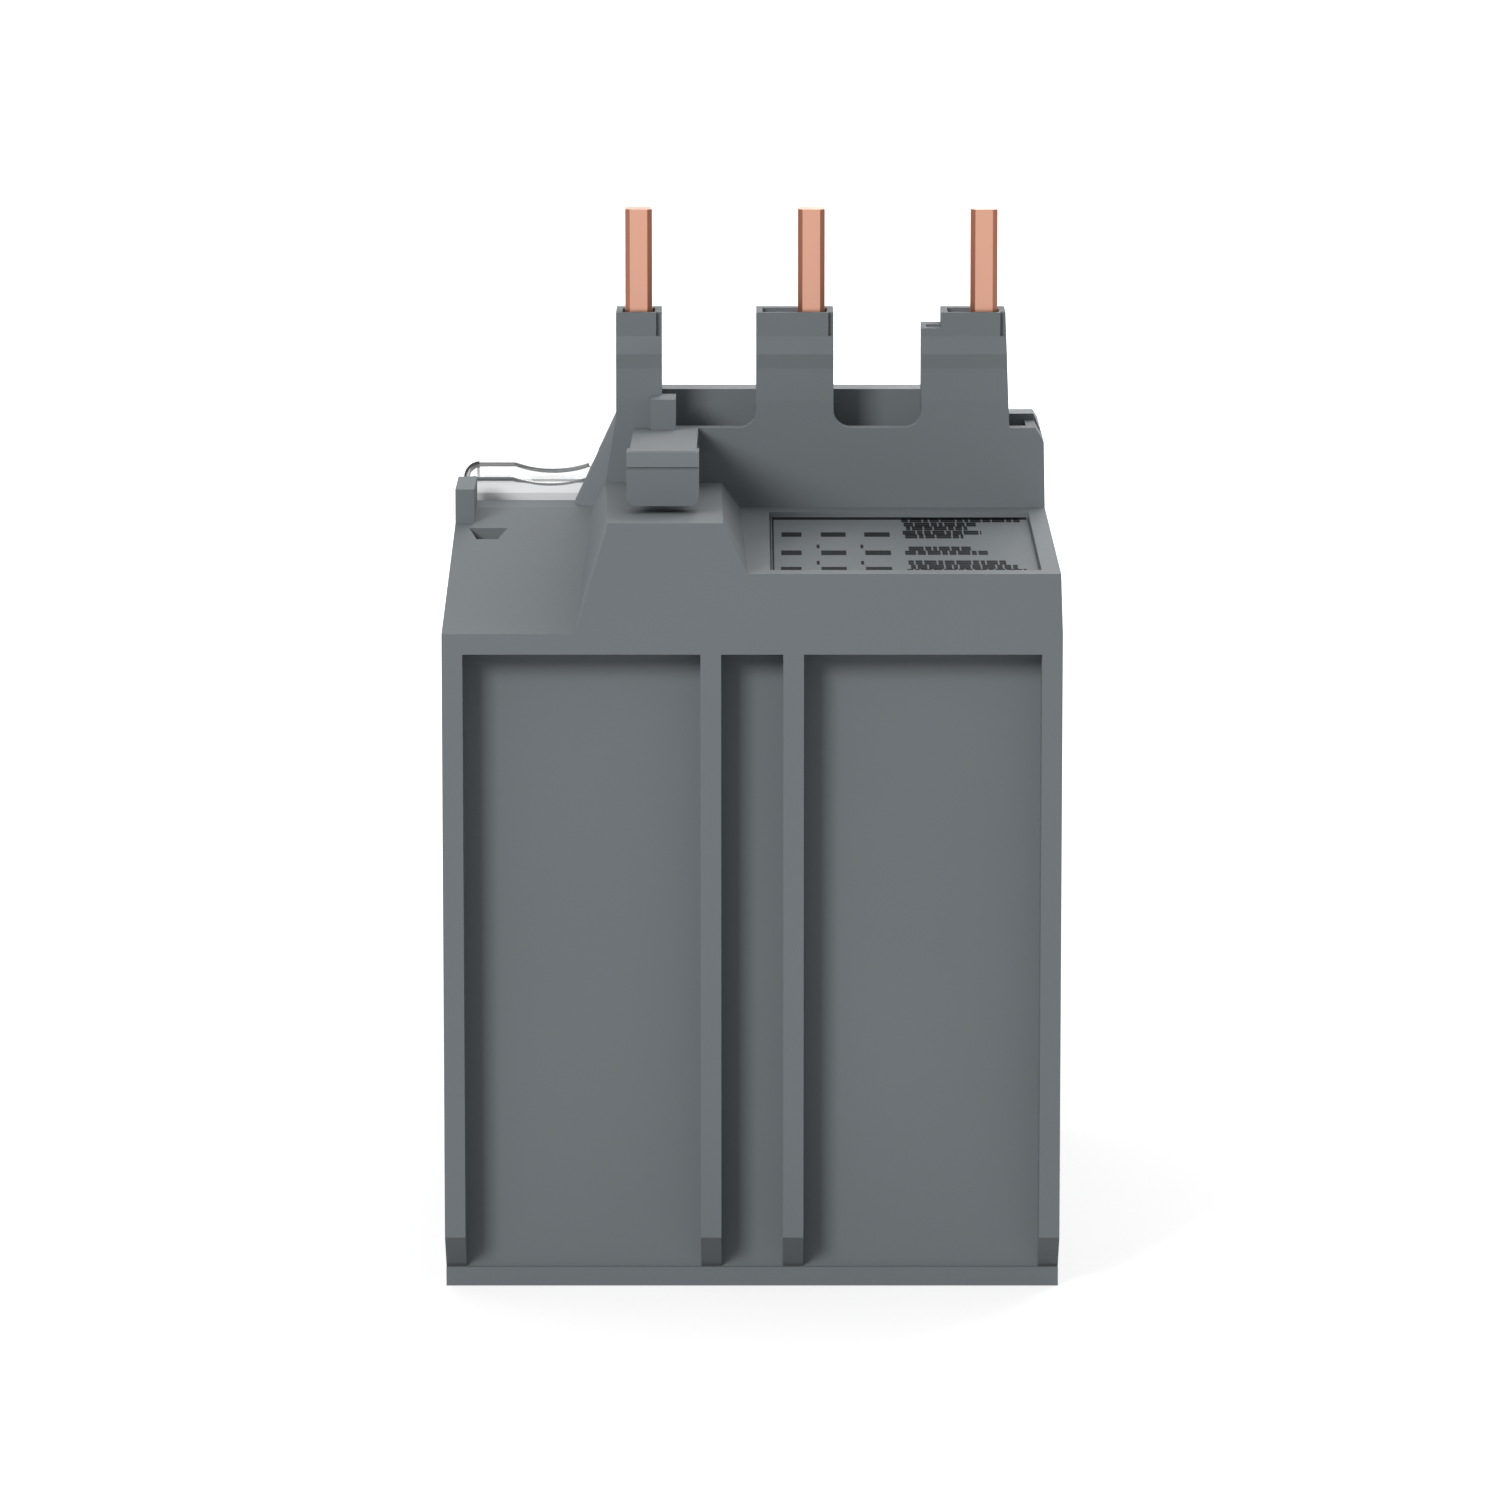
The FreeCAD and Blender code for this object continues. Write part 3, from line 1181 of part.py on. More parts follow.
def terminal_cage(index):
    """The box clamp that pulls the wire against the terminal plate."""
    x = LOADS[index]
    side = v.cage_width / 2
    outer = box("cage_form_%d" % index, (x - side, x + side), (v.cage_front, v.cage_rear),
                (v.cage_bottom, v.cage_top))
    wall = v.cage_wall
    passage = box("cage_passage_%d" % index, (x - side + wall, x + side - wall),
                  (v.cage_front + wall * 1.6, v.cage_rear - wall),
                  (v.cage_bottom - 1.0, v.cage_top + 1.0))
    thread = rod_y("cage_thread_%d" % index, v.load_screw_shank, x, v.load_screw_z,
                   (v.cage_front - 1.0, v.cage_front + wall * 2))
    return cut("terminal_cage_t%d" % (index + 1), outer, [passage, thread])


def screws(name, places, head_radius, head, shank_radius, shank, z, slot):
    """A set of equal slotted cheese-head screws along Y; head and shank are Y spans."""
    solids = []
    depth = (head[1] - head[0]) * v.slot_share
    for index, x in enumerate(places):
        form = fuse("%s_form_%d" % (name, index), [
            rod_y("%s_head_%d" % (name, index), head_radius, x, z, head),
            rod_y("%s_shank_%d" % (name, index), shank_radius, x, z, shank)])
        groove = box("%s_slot_%d" % (name, index), (x - head_radius - 1.0, x + head_radius + 1.0),
                     (head[0] - 1.0, head[0] + depth), (z - slot / 2, z + slot / 2))
        solids.append(cut("%s_%d" % (name, index), form, [groove]))
    return group(name, solids)


def load_screws():
    """The three terminal screws, backed out as delivered."""
    seat = v.cage_front - v.run_gap
    return screws("load_screws", LOADS, v.load_screw_head, (seat - v.load_screw_head_length, seat),
                  v.load_screw_shank, (seat, seat + v.load_screw_length), v.load_screw_z, v.load_slot)


# Auxiliary terminals and contacts
def aux_conductor(name, x, plane, contact_y, outward, riser_bottom):
    """Terminal plate, flat strip and riser with its contact button, all one bent part."""
    thick = v.aux_thick
    half_plate = v.aux_plate_width / 2
    half_strip = v.aux_strip_width / 2
    bottom = v.power_top + v.wall_thick + v.fit_gap
    plate_span = (v.aux_plate_y - thick, v.aux_plate_y)
    plate = box(name + "_plate", (x - half_plate, x + half_plate), plate_span,
                (bottom, v.aux_z + v.aux_plate_height / 2))
    hole = rod_y(name + "_hole", v.aux_shank, x, v.aux_z, (plate_span[0] - 1.0, plate_span[1] + 1.0))
    riser_span = (plane, plane + thick) if outward > 0 else (plane - thick, plane)
    riser_y = (contact_y - half_strip, contact_y + half_strip)
    riser = box(name + "_riser", riser_span, riser_y, (riser_bottom, v.contact_top))
    pieces = [cut(name + "_drilled", plate, [hole]), riser]
    if abs(number(riser_span[0] - x)) > number(half_plate):
        left, right = sorted([x - half_strip, x + half_strip, riser_span[0], riser_span[1]],
                             key=number)[::3]
        pieces.append(box(name + "_run", (x - half_strip, x + half_strip),
                          (plate_span[0], riser_y[1]), (bottom, bottom + thick)))
        pieces.append(box(name + "_cross", (left, right), riser_y, (bottom, bottom + thick)))
    face = riser_span[0] if outward > 0 else riser_span[1]
    start = face - v.button_thick if outward > 0 else face
    pieces.append(cylinder(name + "_point", v.button_radius, "x",
                           (start, contact_y, v.contact_height), v.button_thick))
    return fuse(name, pieces)


def aux_conductors():
    """The four fixed conductors: a normally closed pair and a normally open pair."""
    floor = v.power_top + v.wall_thick + v.fit_gap
    plate_top = v.aux_z + v.aux_plate_height / 2
    return [
        aux_conductor("nc_conductor_front", AUX[2], v.nc_plane, v.contact_front, 1, plate_top - 0.8),
        aux_conductor("nc_conductor_rear", AUX[3], v.nc_plane, v.contact_rear, 1, floor),
        aux_conductor("no_conductor_front", AUX[1], v.no_plane, v.contact_front, -1, floor),
        aux_conductor("no_conductor_rear", AUX[0], v.no_plane, v.contact_rear, -1, floor),
    ]


def aux_screws():
    """The four auxiliary terminal screws."""
    seat = v.aux_washer_y - v.aux_thick
    return screws("aux_screws", AUX, v.aux_head, (seat - v.aux_head_length, seat),
                  v.aux_shank, (seat, v.aux_plate_y + 0.4), v.aux_z, v.aux_slot)


def aux_washers():
    """The four square clamp washers under the auxiliary screws."""
    solids = []
    reach = v.aux_washer / 2
    span = (v.aux_washer_y - v.aux_thick, v.aux_washer_y)
    for index, x in enumerate(AUX):
        plate = box("washer_form_%d" % index, (x - reach, x + reach), span,
                    (v.aux_z - reach, v.aux_z + reach))
        hole = rod_y("washer_hole_%d" % index, v.aux_shank, x, v.aux_z, (span[0] - 1.0, span[1] + 1.0))
        solids.append(cut("washer_%d" % index, plate, [hole]))
    return group("aux_washers", solids)


NC_BRIDGE_X = v.nc_plane - v.button_thick * 2 - v.contact_gap - v.bridge_thick
NO_BRIDGE_X = v.no_plane + v.button_thick * 2 + v.contact_gap + v.carrier_travel


def contact_bridge(name, left, side):
    """A moving bridge with a button at each end; side is where its buttons point."""
    span = (v.contact_front - v.button_radius - 0.2, v.contact_rear + v.button_radius + 0.2)
    strip = box(name + "_strip", (left, left + v.bridge_thick), span,
                (v.contact_height - v.bridge_height / 2, v.contact_height + v.bridge_height / 2))
    pieces = [strip]
    start = left + v.bridge_thick if side > 0 else left - v.button_thick
    for index, y in enumerate((v.contact_front, v.contact_rear)):
        pieces.append(cylinder("%s_point_%d" % (name, index), v.button_radius, "x",
                               (start, y, v.contact_height), v.button_thick))
    return fuse(name, pieces)


def contact_carrier():
    """The sliding bar that moves both bridges when the relay trips."""
    top = v.carrier_bottom + v.carrier_height
    across = (v.carrier_front, v.carrier_rear)
    bar = box("carrier_bar", (v.carrier_right, v.carrier_left), across, (v.carrier_bottom, top))
    nc_post = box("carrier_nc_post", (NC_BRIDGE_X - v.post_thick, NC_BRIDGE_X), across,
                  (top - 0.5, v.contact_top))
    no_left = NO_BRIDGE_X + v.bridge_thick
    no_post = box("carrier_no_post", (no_left, no_left + v.post_thick), across,
                  (top - 0.5, v.contact_top))
    return fuse("contact_carrier", [bar, nc_post, no_post])


def trip_flag():
    """The flag that shows in its window when the relay has tripped."""
    side = (v.flag_x - v.flag_width / 2, v.flag_x + v.flag_width / 2)
    front = v.panel_y + v.wall_thick + v.fit_gap
    base = v.carrier_bottom + v.carrier_height
    foot = box("flag_foot", side, (v.carrier_front, v.carrier_front + 1.2), (base, base + 2.2))
    arm = box("flag_arm", side, (front + 0.4, v.carrier_front + 1.2), (base + 1.2, base + 2.2))
    plate = box("flag_plate", side, (front, front + 0.8), (base + 1.2, v.flag_top))
    return fuse("trip_flag", [foot, arm, plate])


# Trip train: slides, differential lever, trip lever
def slide(name, y_low, finger_side, with_arm):
    """A slide bar with one finger beside each bimetal tip."""
    y_span = (y_low, y_low + v.slide_bar)
    z_span = (v.slide_bottom, v.slide_bottom + v.slide_thick)
    if with_arm:
        arm_right = v.lever_x - v.blade_thick / 2 - v.fit_gap
        arm_left = arm_right - v.slide_arm
        outline = [(v.slide_start, y_span[0]), (arm_left, y_span[0]), (arm_left, v.slide_arm_end),
                   (arm_right, v.slide_arm_end), (arm_right, y_span[0]), (v.slide_end, y_span[0]),
                   (v.slide_end, y_span[1]), (v.slide_start, y_span[1])]
    else:
        outline = [(v.slide_start, y_span[0]), (v.slide_end, y_span[0]),
                   (v.slide_end, y_span[1]), (v.slide_start, y_span[1])]
    pieces = [prism(name + "_bar", "XY_Plane", outline, z_span)]
    reach = v.strip_thick / 2 + v.fit_gap
    for index, x in enumerate(POLES):
        low = x + reach if finger_side > 0 else x - reach - v.finger_thick
        pieces.append(box("%s_finger_%d" % (name, index), (low, low + v.finger_thick), y_span,
                          (v.finger_bottom, v.slide_bottom + 0.3)))
    body = fuse(name + "_solid" if with_arm else name, pieces)
    if not with_arm:
        return body
    hole = cylinder("link_hole", v.link_pin, "z",
                    (LINK_X, y_low + v.slide_bar / 2, v.slide_bottom - 1.0), v.slide_thick + 2.0)
    return cut(name, body, [hole])


MAIN_Y = v.strip_y - v.slide_gap / 2 - v.slide_bar
DIFF_Y = v.strip_y + v.slide_gap / 2
LINK_X = v.slide_end - v.link_side - 0.1


def differential_lever():
    """The flat lever that links the two slides."""
    bottom = v.slide_bottom + v.slide_thick + v.run_gap
    middle = MAIN_Y + v.slide_bar / 2
    plate = box("link_form", (LINK_X - v.link_side, LINK_X + v.link_side),
                (middle - v.link_side, DIFF_Y + v.slide_bar / 2),
                (bottom, bottom + v.link_thick))
    hole = cylinder("link_eye", v.link_pin, "z", (LINK_X, middle, bottom - 1.0), v.link_thick + 2.0)
    return cut("differential_lever", plate, [hole])


def differential_pin():
    """The pin that holds the differential lever on the main slide."""
    top = v.slide_bottom + v.slide_thick + v.run_gap + v.link_thick
    return cylinder("differential_pin", v.link_pin, "z",
                    (LINK_X, MAIN_Y + v.slide_bar / 2, v.slide_bottom), top - v.slide_bottom)


def trip_lever():
    """The rocker that turns slide travel into contact travel."""
    x = v.lever_x
    z = v.lever_z
    clamp = (v.blade_front - 0.5, v.lever_rear)
    reach = v.blade_thick / 2
    hub = rod_y("lever_hub_form", v.lever_hub, x, z, (v.lever_front, v.lever_rear))
    neck = box("lever_neck", (x - reach - 0.8, x + reach + 0.8), clamp, (z + 0.5, z + 5.0))
    arm = box("lever_lower_arm", (x - v.lever_arm / 2, x + v.lever_arm / 2),
              (v.lever_front, v.lever_front + 2.0), (v.lever_bottom, z))
    slot = box("lever_blade_slot", (x - reach, x + reach), (v.blade_front, v.lever_rear + 1.0),
               (z + 2.6, z + 6.0))
    eye = rod_y("lever_eye", v.lever_pin + v.run_gap, x, z, (v.lever_front - 1.0, v.lever_rear + 1.0))
    return cut("trip_lever", fuse("lever_solid", [hub, neck, arm]), [slot, eye])


def compensation_strip():
    """The bimetal blade that takes the room's warmth out of the trip point."""
    reach = v.blade_thick / 2
    return box("compensation_strip", (v.lever_x - reach, v.lever_x + reach),
               (v.blade_front, v.lever_rear), (v.lever_z + 2.6, v.blade_top))


def lever_bracket():
    """The plate in the column that carries both lever pins."""
    span = (v.bracket_front, v.bracket_front + v.bracket_thick)
    plate = box("bracket_form", (v.bracket_left, half - v.wall_thick), span,
                (v.bracket_bottom, v.column_top - v.wall_thick))
    holes = [rod_y("bracket_eye_%d" % index, v.lever_pin, x, z, (span[0] - 1.0, span[1] + 1.0))
             for index, (x, z) in enumerate([(v.lever_x, v.lever_z), (v.setting_x, v.setting_z)])]
    return cut("lever_bracket", plate, holes)


def trip_lever_pin():
    """The fixed pin of the trip lever."""
    return rod_y("trip_lever_pin", v.lever_pin, v.lever_x, v.lever_z,
                 (v.bracket_front, v.lever_rear + 0.4))


# Setting dial, cam and setting lever
def turned(name, x, z, profile):
    """A PartDesign revolution about a line along Y; the profile holds (radius, y) corners."""
    body = DOC.addObject("PartDesign::Body", name)
    sketch = body.newObject("Sketcher::SketchObject", name + "_profile")
    origin_plane = [item for item in body.Origin.OriginFeatures if item.Role == "XY_Plane"][0]
    sketch.AttachmentSupport = [(origin_plane, "")]
    sketch.MapMode = "FlatFace"
    trace(sketch, profile)
    turn = body.newObject("PartDesign::Revolution", name + "_turn")
    turn.Profile = sketch
    turn.ReferenceAxis = (sketch, ["V_Axis"])
    turn.Angle = 360.0
    body.Tip = turn
    place(body, (x, 0.0, z))
    return body


def setting_dial():
    """The current setting dial with its screwdriver slot and shaft."""
    back = v.panel_y - v.fit_gap
    front = back - v.dial_thick
    edge = 0.4
    solid = turned("dial_form", v.dial_x, v.dial_z,
                   [(0.0, front), (v.dial_radius - edge, front), (v.dial_radius, front + edge),
                    (v.dial_radius, back), (v.dial_shaft, back), (v.dial_shaft, v.dial_end),
                    (0.0, v.dial_end)])
    reach = v.dial_radius - 0.9
    slot = box("dial_slot", (v.dial_x - reach, v.dial_x + reach), (front - 1.0, front + v.dial_slot_depth),
               (v.dial_z - v.dial_slot_width / 2, v.dial_z + v.dial_slot_width / 2))
    return cut("setting_dial", solid, [slot])


def setting_cam():
    """The spiral cam on the dial shaft: its radius grows evenly over the dial's travel."""
    small = number(v.cam_small)
    rise = number(v.cam_rise)
    travel = number(v.cam_travel)
    steps = 18
    spiral = []
    for step in range(steps + 1):
        turn = travel * step / steps
        radius = small + rise * step / steps
        angle = math.radians(turn)
        spiral.append(FreeCAD.Vector(-radius * math.cos(angle), 0, -radius * math.sin(angle)))
    curve = Part.BSplineCurve()
    curve.interpolate(spiral)
    middle = math.radians((travel + 360.0) / 2)
    mean = small + rise / 2
    back = Part.Arc(spiral[-1], FreeCAD.Vector(-mean * math.cos(middle), 0, -mean * math.sin(middle)),
                    spiral[0])
    face = Part.Face(Part.Wire([curve.toShape(), back.toShape()]))
    solid = face.extrude(FreeCAD.Vector(0, number(v.cam_thick), 0))
    if solid.Volume < 0:
        solid.reverse()
    bore = Part.makeCylinder(number(v.dial_shaft), number(v.cam_thick) + 2.0,
                             FreeCAD.Vector(0, -1.0, 0), FreeCAD.Vector(0, 1, 0))
    item = DOC.addObject("Part::Feature", "setting_cam")
    item.Shape = solid.cut(bore)
    place(item, (v.dial_x, v.cam_front, v.dial_z))
    return item


def setting_lever():
    """The follower that the cam pushes to shift the trip point."""
    span = (v.cam_front - 0.6, v.cam_front + v.cam_thick + 0.6)
    nose = v.dial_x - v.cam_small - v.fit_gap
    hub = rod_y("setting_hub", v.lever_hub, v.setting_x, v.setting_z, span)
    arm = box("setting_arm", (nose - 1.7, nose), span, (v.setting_z, v.dial_z + 1.4))
    eye = rod_y("setting_eye", v.lever_pin + v.run_gap, v.setting_x, v.setting_z,
                (span[0] - 1.0, span[1] + 1.0))
    return cut("setting_lever", fuse("setting_solid", [hub, arm]), [eye])


def setting_lever_pin():
    """The fixed pin of the setting lever."""
    return rod_y("setting_lever_pin", v.lever_pin, v.setting_x, v.setting_z,
                 (v.cam_front - 1.0, v.bracket_front + v.bracket_thick))


# Push buttons, collar, springs and the plate behind them
FLANGE_FRONT = v.panel_y + v.wall_thick + v.fit_gap
STEM_END = v.plate_y + v.plate_thick / 2


def push_button(name, x, z, radius, proud, flange_front, stem, stem_end):
    """A round button with a retaining flange and a guide stem."""
    front = v.panel_y - proud
    edge = 0.4
    back = flange_front + v.flange_thick
    wide = radius + v.flange_wide
    return turned(name, x, z,
                  [(0.0, front), (radius - edge, front), (radius, front + edge), (radius, flange_front),
                   (wide, flange_front), (wide, back), (stem, back), (stem, stem_end), (0.0, stem_end)])


def reset_collar():
    """The turning collar that keeps the reset button in or out of automatic reset."""
    inner = v.reset_radius + v.run_gap
    outer = inner + v.collar_thick
    front = v.panel_y - (v.button_proud - v.push_travel)
    back = FLANGE_FRONT + v.flange_thick
    return turned("reset_collar", v.reset_x, v.button_z,
                  [(inner, front), (outer, front), (outer, FLANGE_FRONT),
                   (outer + v.flange_wide, FLANGE_FRONT), (outer + v.flange_wide, back), (inner, back)])


def reset_button():
    """The reset button inside its collar."""
    flange = FLANGE_FRONT + v.flange_thick + v.fit_gap
    return push_button("reset_button", v.reset_x, v.button_z, v.reset_radius, v.button_proud,
                       flange, v.stem_radius, STEM_END)


def stop_button():
    """The stop button."""
    return push_button("stop_button", v.stop_x, v.button_z, v.stop_radius, v.button_proud,
                       FLANGE_FRONT, v.stem_radius, STEM_END)


def test_button():
    """The small test button under the dial."""
    return push_button("test_button", v.dial_x, v.test_z, v.test_radius, v.test_proud,
                       FLANGE_FRONT, v.test_stem, v.bracket_front - v.test_travel - v.fit_gap * 2)


def spring(name, x, z, start, end, inner_radius):
    """A compression spring along Y from one seat to the other."""
    gap = number(v.run_gap)
    wire = number(v.spring_wire)
    low = number(start) + wire / 2 + gap
    length = number(end) - gap - wire / 2 - low
    radius = number(inner_radius) + number(v.fit_gap) + wire / 2
    helix = Part.makeHelix(length / number(v.spring_turns), length, radius)
    reach = wire / 2
    square = [FreeCAD.Vector(radius + reach * i, 0, reach * j)
              for i, j in ((-1, -1), (1, -1), (1, 1), (-1, 1), (-1, -1))]
    coil = Part.Wire(helix.Edges).makePipeShell([Part.makePolygon(square)], True, True)
    item = DOC.addObject("Part::Feature", name)
    item.Shape = coil
    angle, axis = TURNS["y"]
    item.Placement = FreeCAD.Placement(FreeCAD.Vector(number(x), low, number(z)),
                                       FreeCAD.Rotation(FreeCAD.Vector(*axis), angle))
    return item


def springs():
    """The three return springs."""
    reset_seat = FLANGE_FRONT + v.flange_thick * 2 + v.fit_gap
    seat = FLANGE_FRONT + v.flange_thick
    return [
        spring("reset_spring", v.reset_x, v.button_z, reset_seat, v.plate_y, v.stem_radius),
        spring("stop_spring", v.stop_x, v.button_z, seat, v.plate_y, v.stem_radius),
        spring("test_spring", v.dial_x, v.test_z, seat, v.bracket_front, v.test_stem),
    ]


def mechanism_plate():
    """The inner plate that guides the stop and reset stems and seats their springs."""
    span = (v.plate_y, v.plate_y + v.plate_thick)
    plate = box("plate_form", (v.wall_thick - half, v.plate_side), span, (v.plate_bottom, v.plate_top))
    holes = [rod_y("stem_hole_%d" % index, v.stem_radius + v.run_gap, x, v.button_z,
                   (span[0] - 1.0, span[1] + 1.0))
             for index, x in enumerate((v.reset_x, v.stop_x))]
    return cut("mechanism_plate", plate, holes)


# Clear cover and its pins
def clear_cover():
    """The hinged clear hood over the dial and the test button."""
    wall = v.cover_wall
    corner = 1.0
    rest = v.column_top + v.fit_gap
    bend = v.cover_rear - v.cover_level
    slope = (v.cover_high - v.cover_low) / (bend - v.cover_front - v.cover_slant)
    outer = prism("cover_form", "YZ_Plane",
                  [(v.cover_rear, v.cover_lip), (v.cover_rear, v.cover_high - corner),
                   (v.cover_rear - corner, v.cover_high), (bend, v.cover_high),
                   (v.cover_front + v.cover_slant, v.cover_low),
                   (v.cover_front, v.cover_low - v.cover_slant), (v.cover_front, v.cover_bottom),
                   (v.panel_y - v.fit_gap, v.cover_bottom), (v.panel_y - v.fit_gap, rest),
                   (v.hinge_y - 2.2, rest), (v.hinge_y - 2.2, v.cover_lip)],
                  (v.cover_right, v.cover_left))

    def upper_side(middle, edge):
        sides = near(middle.x, v.cover_left) or near(middle.x, v.cover_right)
        return sides and (middle.z > number(v.cover_low - v.cover_slant)
                          and middle.y < number(v.cover_rear) - 0.01 and edge.Length > 5.0
                          or near(middle.y, v.cover_front + v.cover_slant / 2)
                          or near(middle.y, v.cover_front))

    outer = round_edges("cover_rounded", outer, v.cover_round, upper_side)
    inner = prism("cover_hollow", "YZ_Plane",
                  [(v.cover_rear - wall, v.cover_lip - 3.0), (v.cover_rear - wall, v.cover_high - wall * 2),
                   (v.cover_rear - wall * 2, v.cover_high - wall), (bend, v.cover_high - wall),
                   (v.cover_front + v.cover_slant + wall * 0.4, v.cover_low - wall),
                   (v.cover_front + wall, v.cover_low - v.cover_slant - wall * 0.4),
                   (v.cover_front + wall, v.cover_bottom - 1.0),
                   (v.panel_y + 1.0, v.cover_bottom - 1.0), (v.panel_y + 1.0, v.cover_lip - 3.0)],
                  (v.cover_right + wall, v.cover_left - wall))
    width = v.cover_dip_width
    radius = (width * width / 4 + v.cover_dip * v.cover_dip) / (v.cover_dip * 2)
    tilt = math.atan(number(slope))
    axis = v.cover_high - v.cover_dip
    dips = []
    for index, (start, length, rise, turn) in enumerate([
            (bend - corner * 2, v.cover_level + corner * 3, radius, -90.0),
            (bend, bend - v.cover_front + corner * 5, radius / math.cos(tilt),
             math.degrees(tilt) + 90.0)]):
        dip = DOC.addObject("Part::Cylinder", "finger_dip_%d" % index)
        bind(dip, "Radius", radius)
        bind(dip, "Height", length)
        place(dip, (v.cover_dip_x, start, axis + rise), turn, (1, 0, 0))
        dips.append(dip)
    holes = cylinder("cover_eyes", v.hinge_pin, "x", (v.cover_right - 1.0, v.hinge_y, v.hinge_z),
                     v.cover_left - v.cover_right + 2.0)
    return cut("clear_cover", outer, [inner, holes] + dips)


def cover_hinge_pins():
    """The two short pins on which the cover swings."""
    reach = v.cover_wall + v.fit_gap + v.lug_thick
    solids = [cylinder("hinge_pin_%d" % index, v.hinge_pin, "x", (start, v.hinge_y, v.hinge_z), reach)
              for index, start in enumerate((v.cover_right, v.cover_left - reach))]
    return group("cover_hinge_pins", solids)


def build():
    """All nodes of the relay in one list."""
    nodes = [rear_housing(), power_block(), front_housing(), rating_label()]
    for index in range(3):
        nodes += [line_conductor(index), bimetal_strip(index), insulating_sleeve(index),
                  heater_winding(index), load_conductor(index), terminal_cage(index)]
    nodes += [load_screws(), aux_screws(), aux_washers()]
    nodes += aux_conductors()
    nodes += [contact_carrier(), trip_flag(),
              contact_bridge("nc_bridge", NC_BRIDGE_X, 1), contact_bridge("no_bridge", NO_BRIDGE_X, -1)]
    nodes += [slide("main_slide", MAIN_Y, 1, True), slide("differential_slide", DIFF_Y, -1, False),
              differential_lever(), differential_pin(), trip_lever(), compensation_strip(),
              lever_bracket(), trip_lever_pin()]
    nodes += [setting_dial(), setting_cam(), setting_lever(), setting_lever_pin()]
    nodes += [reset_collar(), reset_button(), stop_button(), test_button(), mechanism_plate()]
    nodes += springs()
    nodes += [clear_cover(), cover_hinge_pins()]
    return nodes


def write(nodes):
    """Checks every object and writes one STEP file for each node."""
    DOC.recompute()
    failed = [item.Name for item in DOC.Objects if "Invalid" in item.State or "Error" in item.State]
    for node in nodes:
        shape = node.Shape
        if shape.isNull() or not shape.isValid() or shape.Volume <= 0:
            failed.append(node.Name)
    if failed:
        raise SystemExit("failed objects: " + ", ".join(failed))
    os.makedirs("parts", exist_ok=True)
    for node in nodes:
        node.Label = node.Name
        node.Shape.exportStep(os.path.join("parts", node.Name + ".step"))
    print("%d nodes written" % len(nodes))


write(build())
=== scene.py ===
"""Looks of the thermal overload relay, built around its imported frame. Metres, row frame."""
import json
import math

import bmesh
import bpy
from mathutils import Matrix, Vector


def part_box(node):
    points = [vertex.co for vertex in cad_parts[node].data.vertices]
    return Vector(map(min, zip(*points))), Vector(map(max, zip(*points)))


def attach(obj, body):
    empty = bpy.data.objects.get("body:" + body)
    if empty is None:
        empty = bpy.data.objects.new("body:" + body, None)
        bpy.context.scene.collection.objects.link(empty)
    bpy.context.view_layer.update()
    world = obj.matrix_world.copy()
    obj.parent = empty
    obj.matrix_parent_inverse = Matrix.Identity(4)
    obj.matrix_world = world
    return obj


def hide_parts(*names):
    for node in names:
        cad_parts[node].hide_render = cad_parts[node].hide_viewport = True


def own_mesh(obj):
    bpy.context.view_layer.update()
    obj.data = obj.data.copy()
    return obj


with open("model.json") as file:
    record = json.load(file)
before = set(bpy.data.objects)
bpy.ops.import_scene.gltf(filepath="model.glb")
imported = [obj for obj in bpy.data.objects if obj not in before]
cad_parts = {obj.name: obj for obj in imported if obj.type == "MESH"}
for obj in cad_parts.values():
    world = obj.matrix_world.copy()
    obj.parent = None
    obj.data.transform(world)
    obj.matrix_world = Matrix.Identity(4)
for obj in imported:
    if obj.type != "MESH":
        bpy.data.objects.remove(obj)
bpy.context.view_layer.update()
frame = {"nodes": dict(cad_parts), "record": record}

NODES = frame["nodes"]
MM = 0.001
WHITE = (1.0, 1.0, 1.0, 1.0)
# Sockets of Blender's Mix node when it mixes colours
MIX_SHARE, MIX_LOW, MIX_HIGH, MIX_RESULT = 0, 6, 7, 2


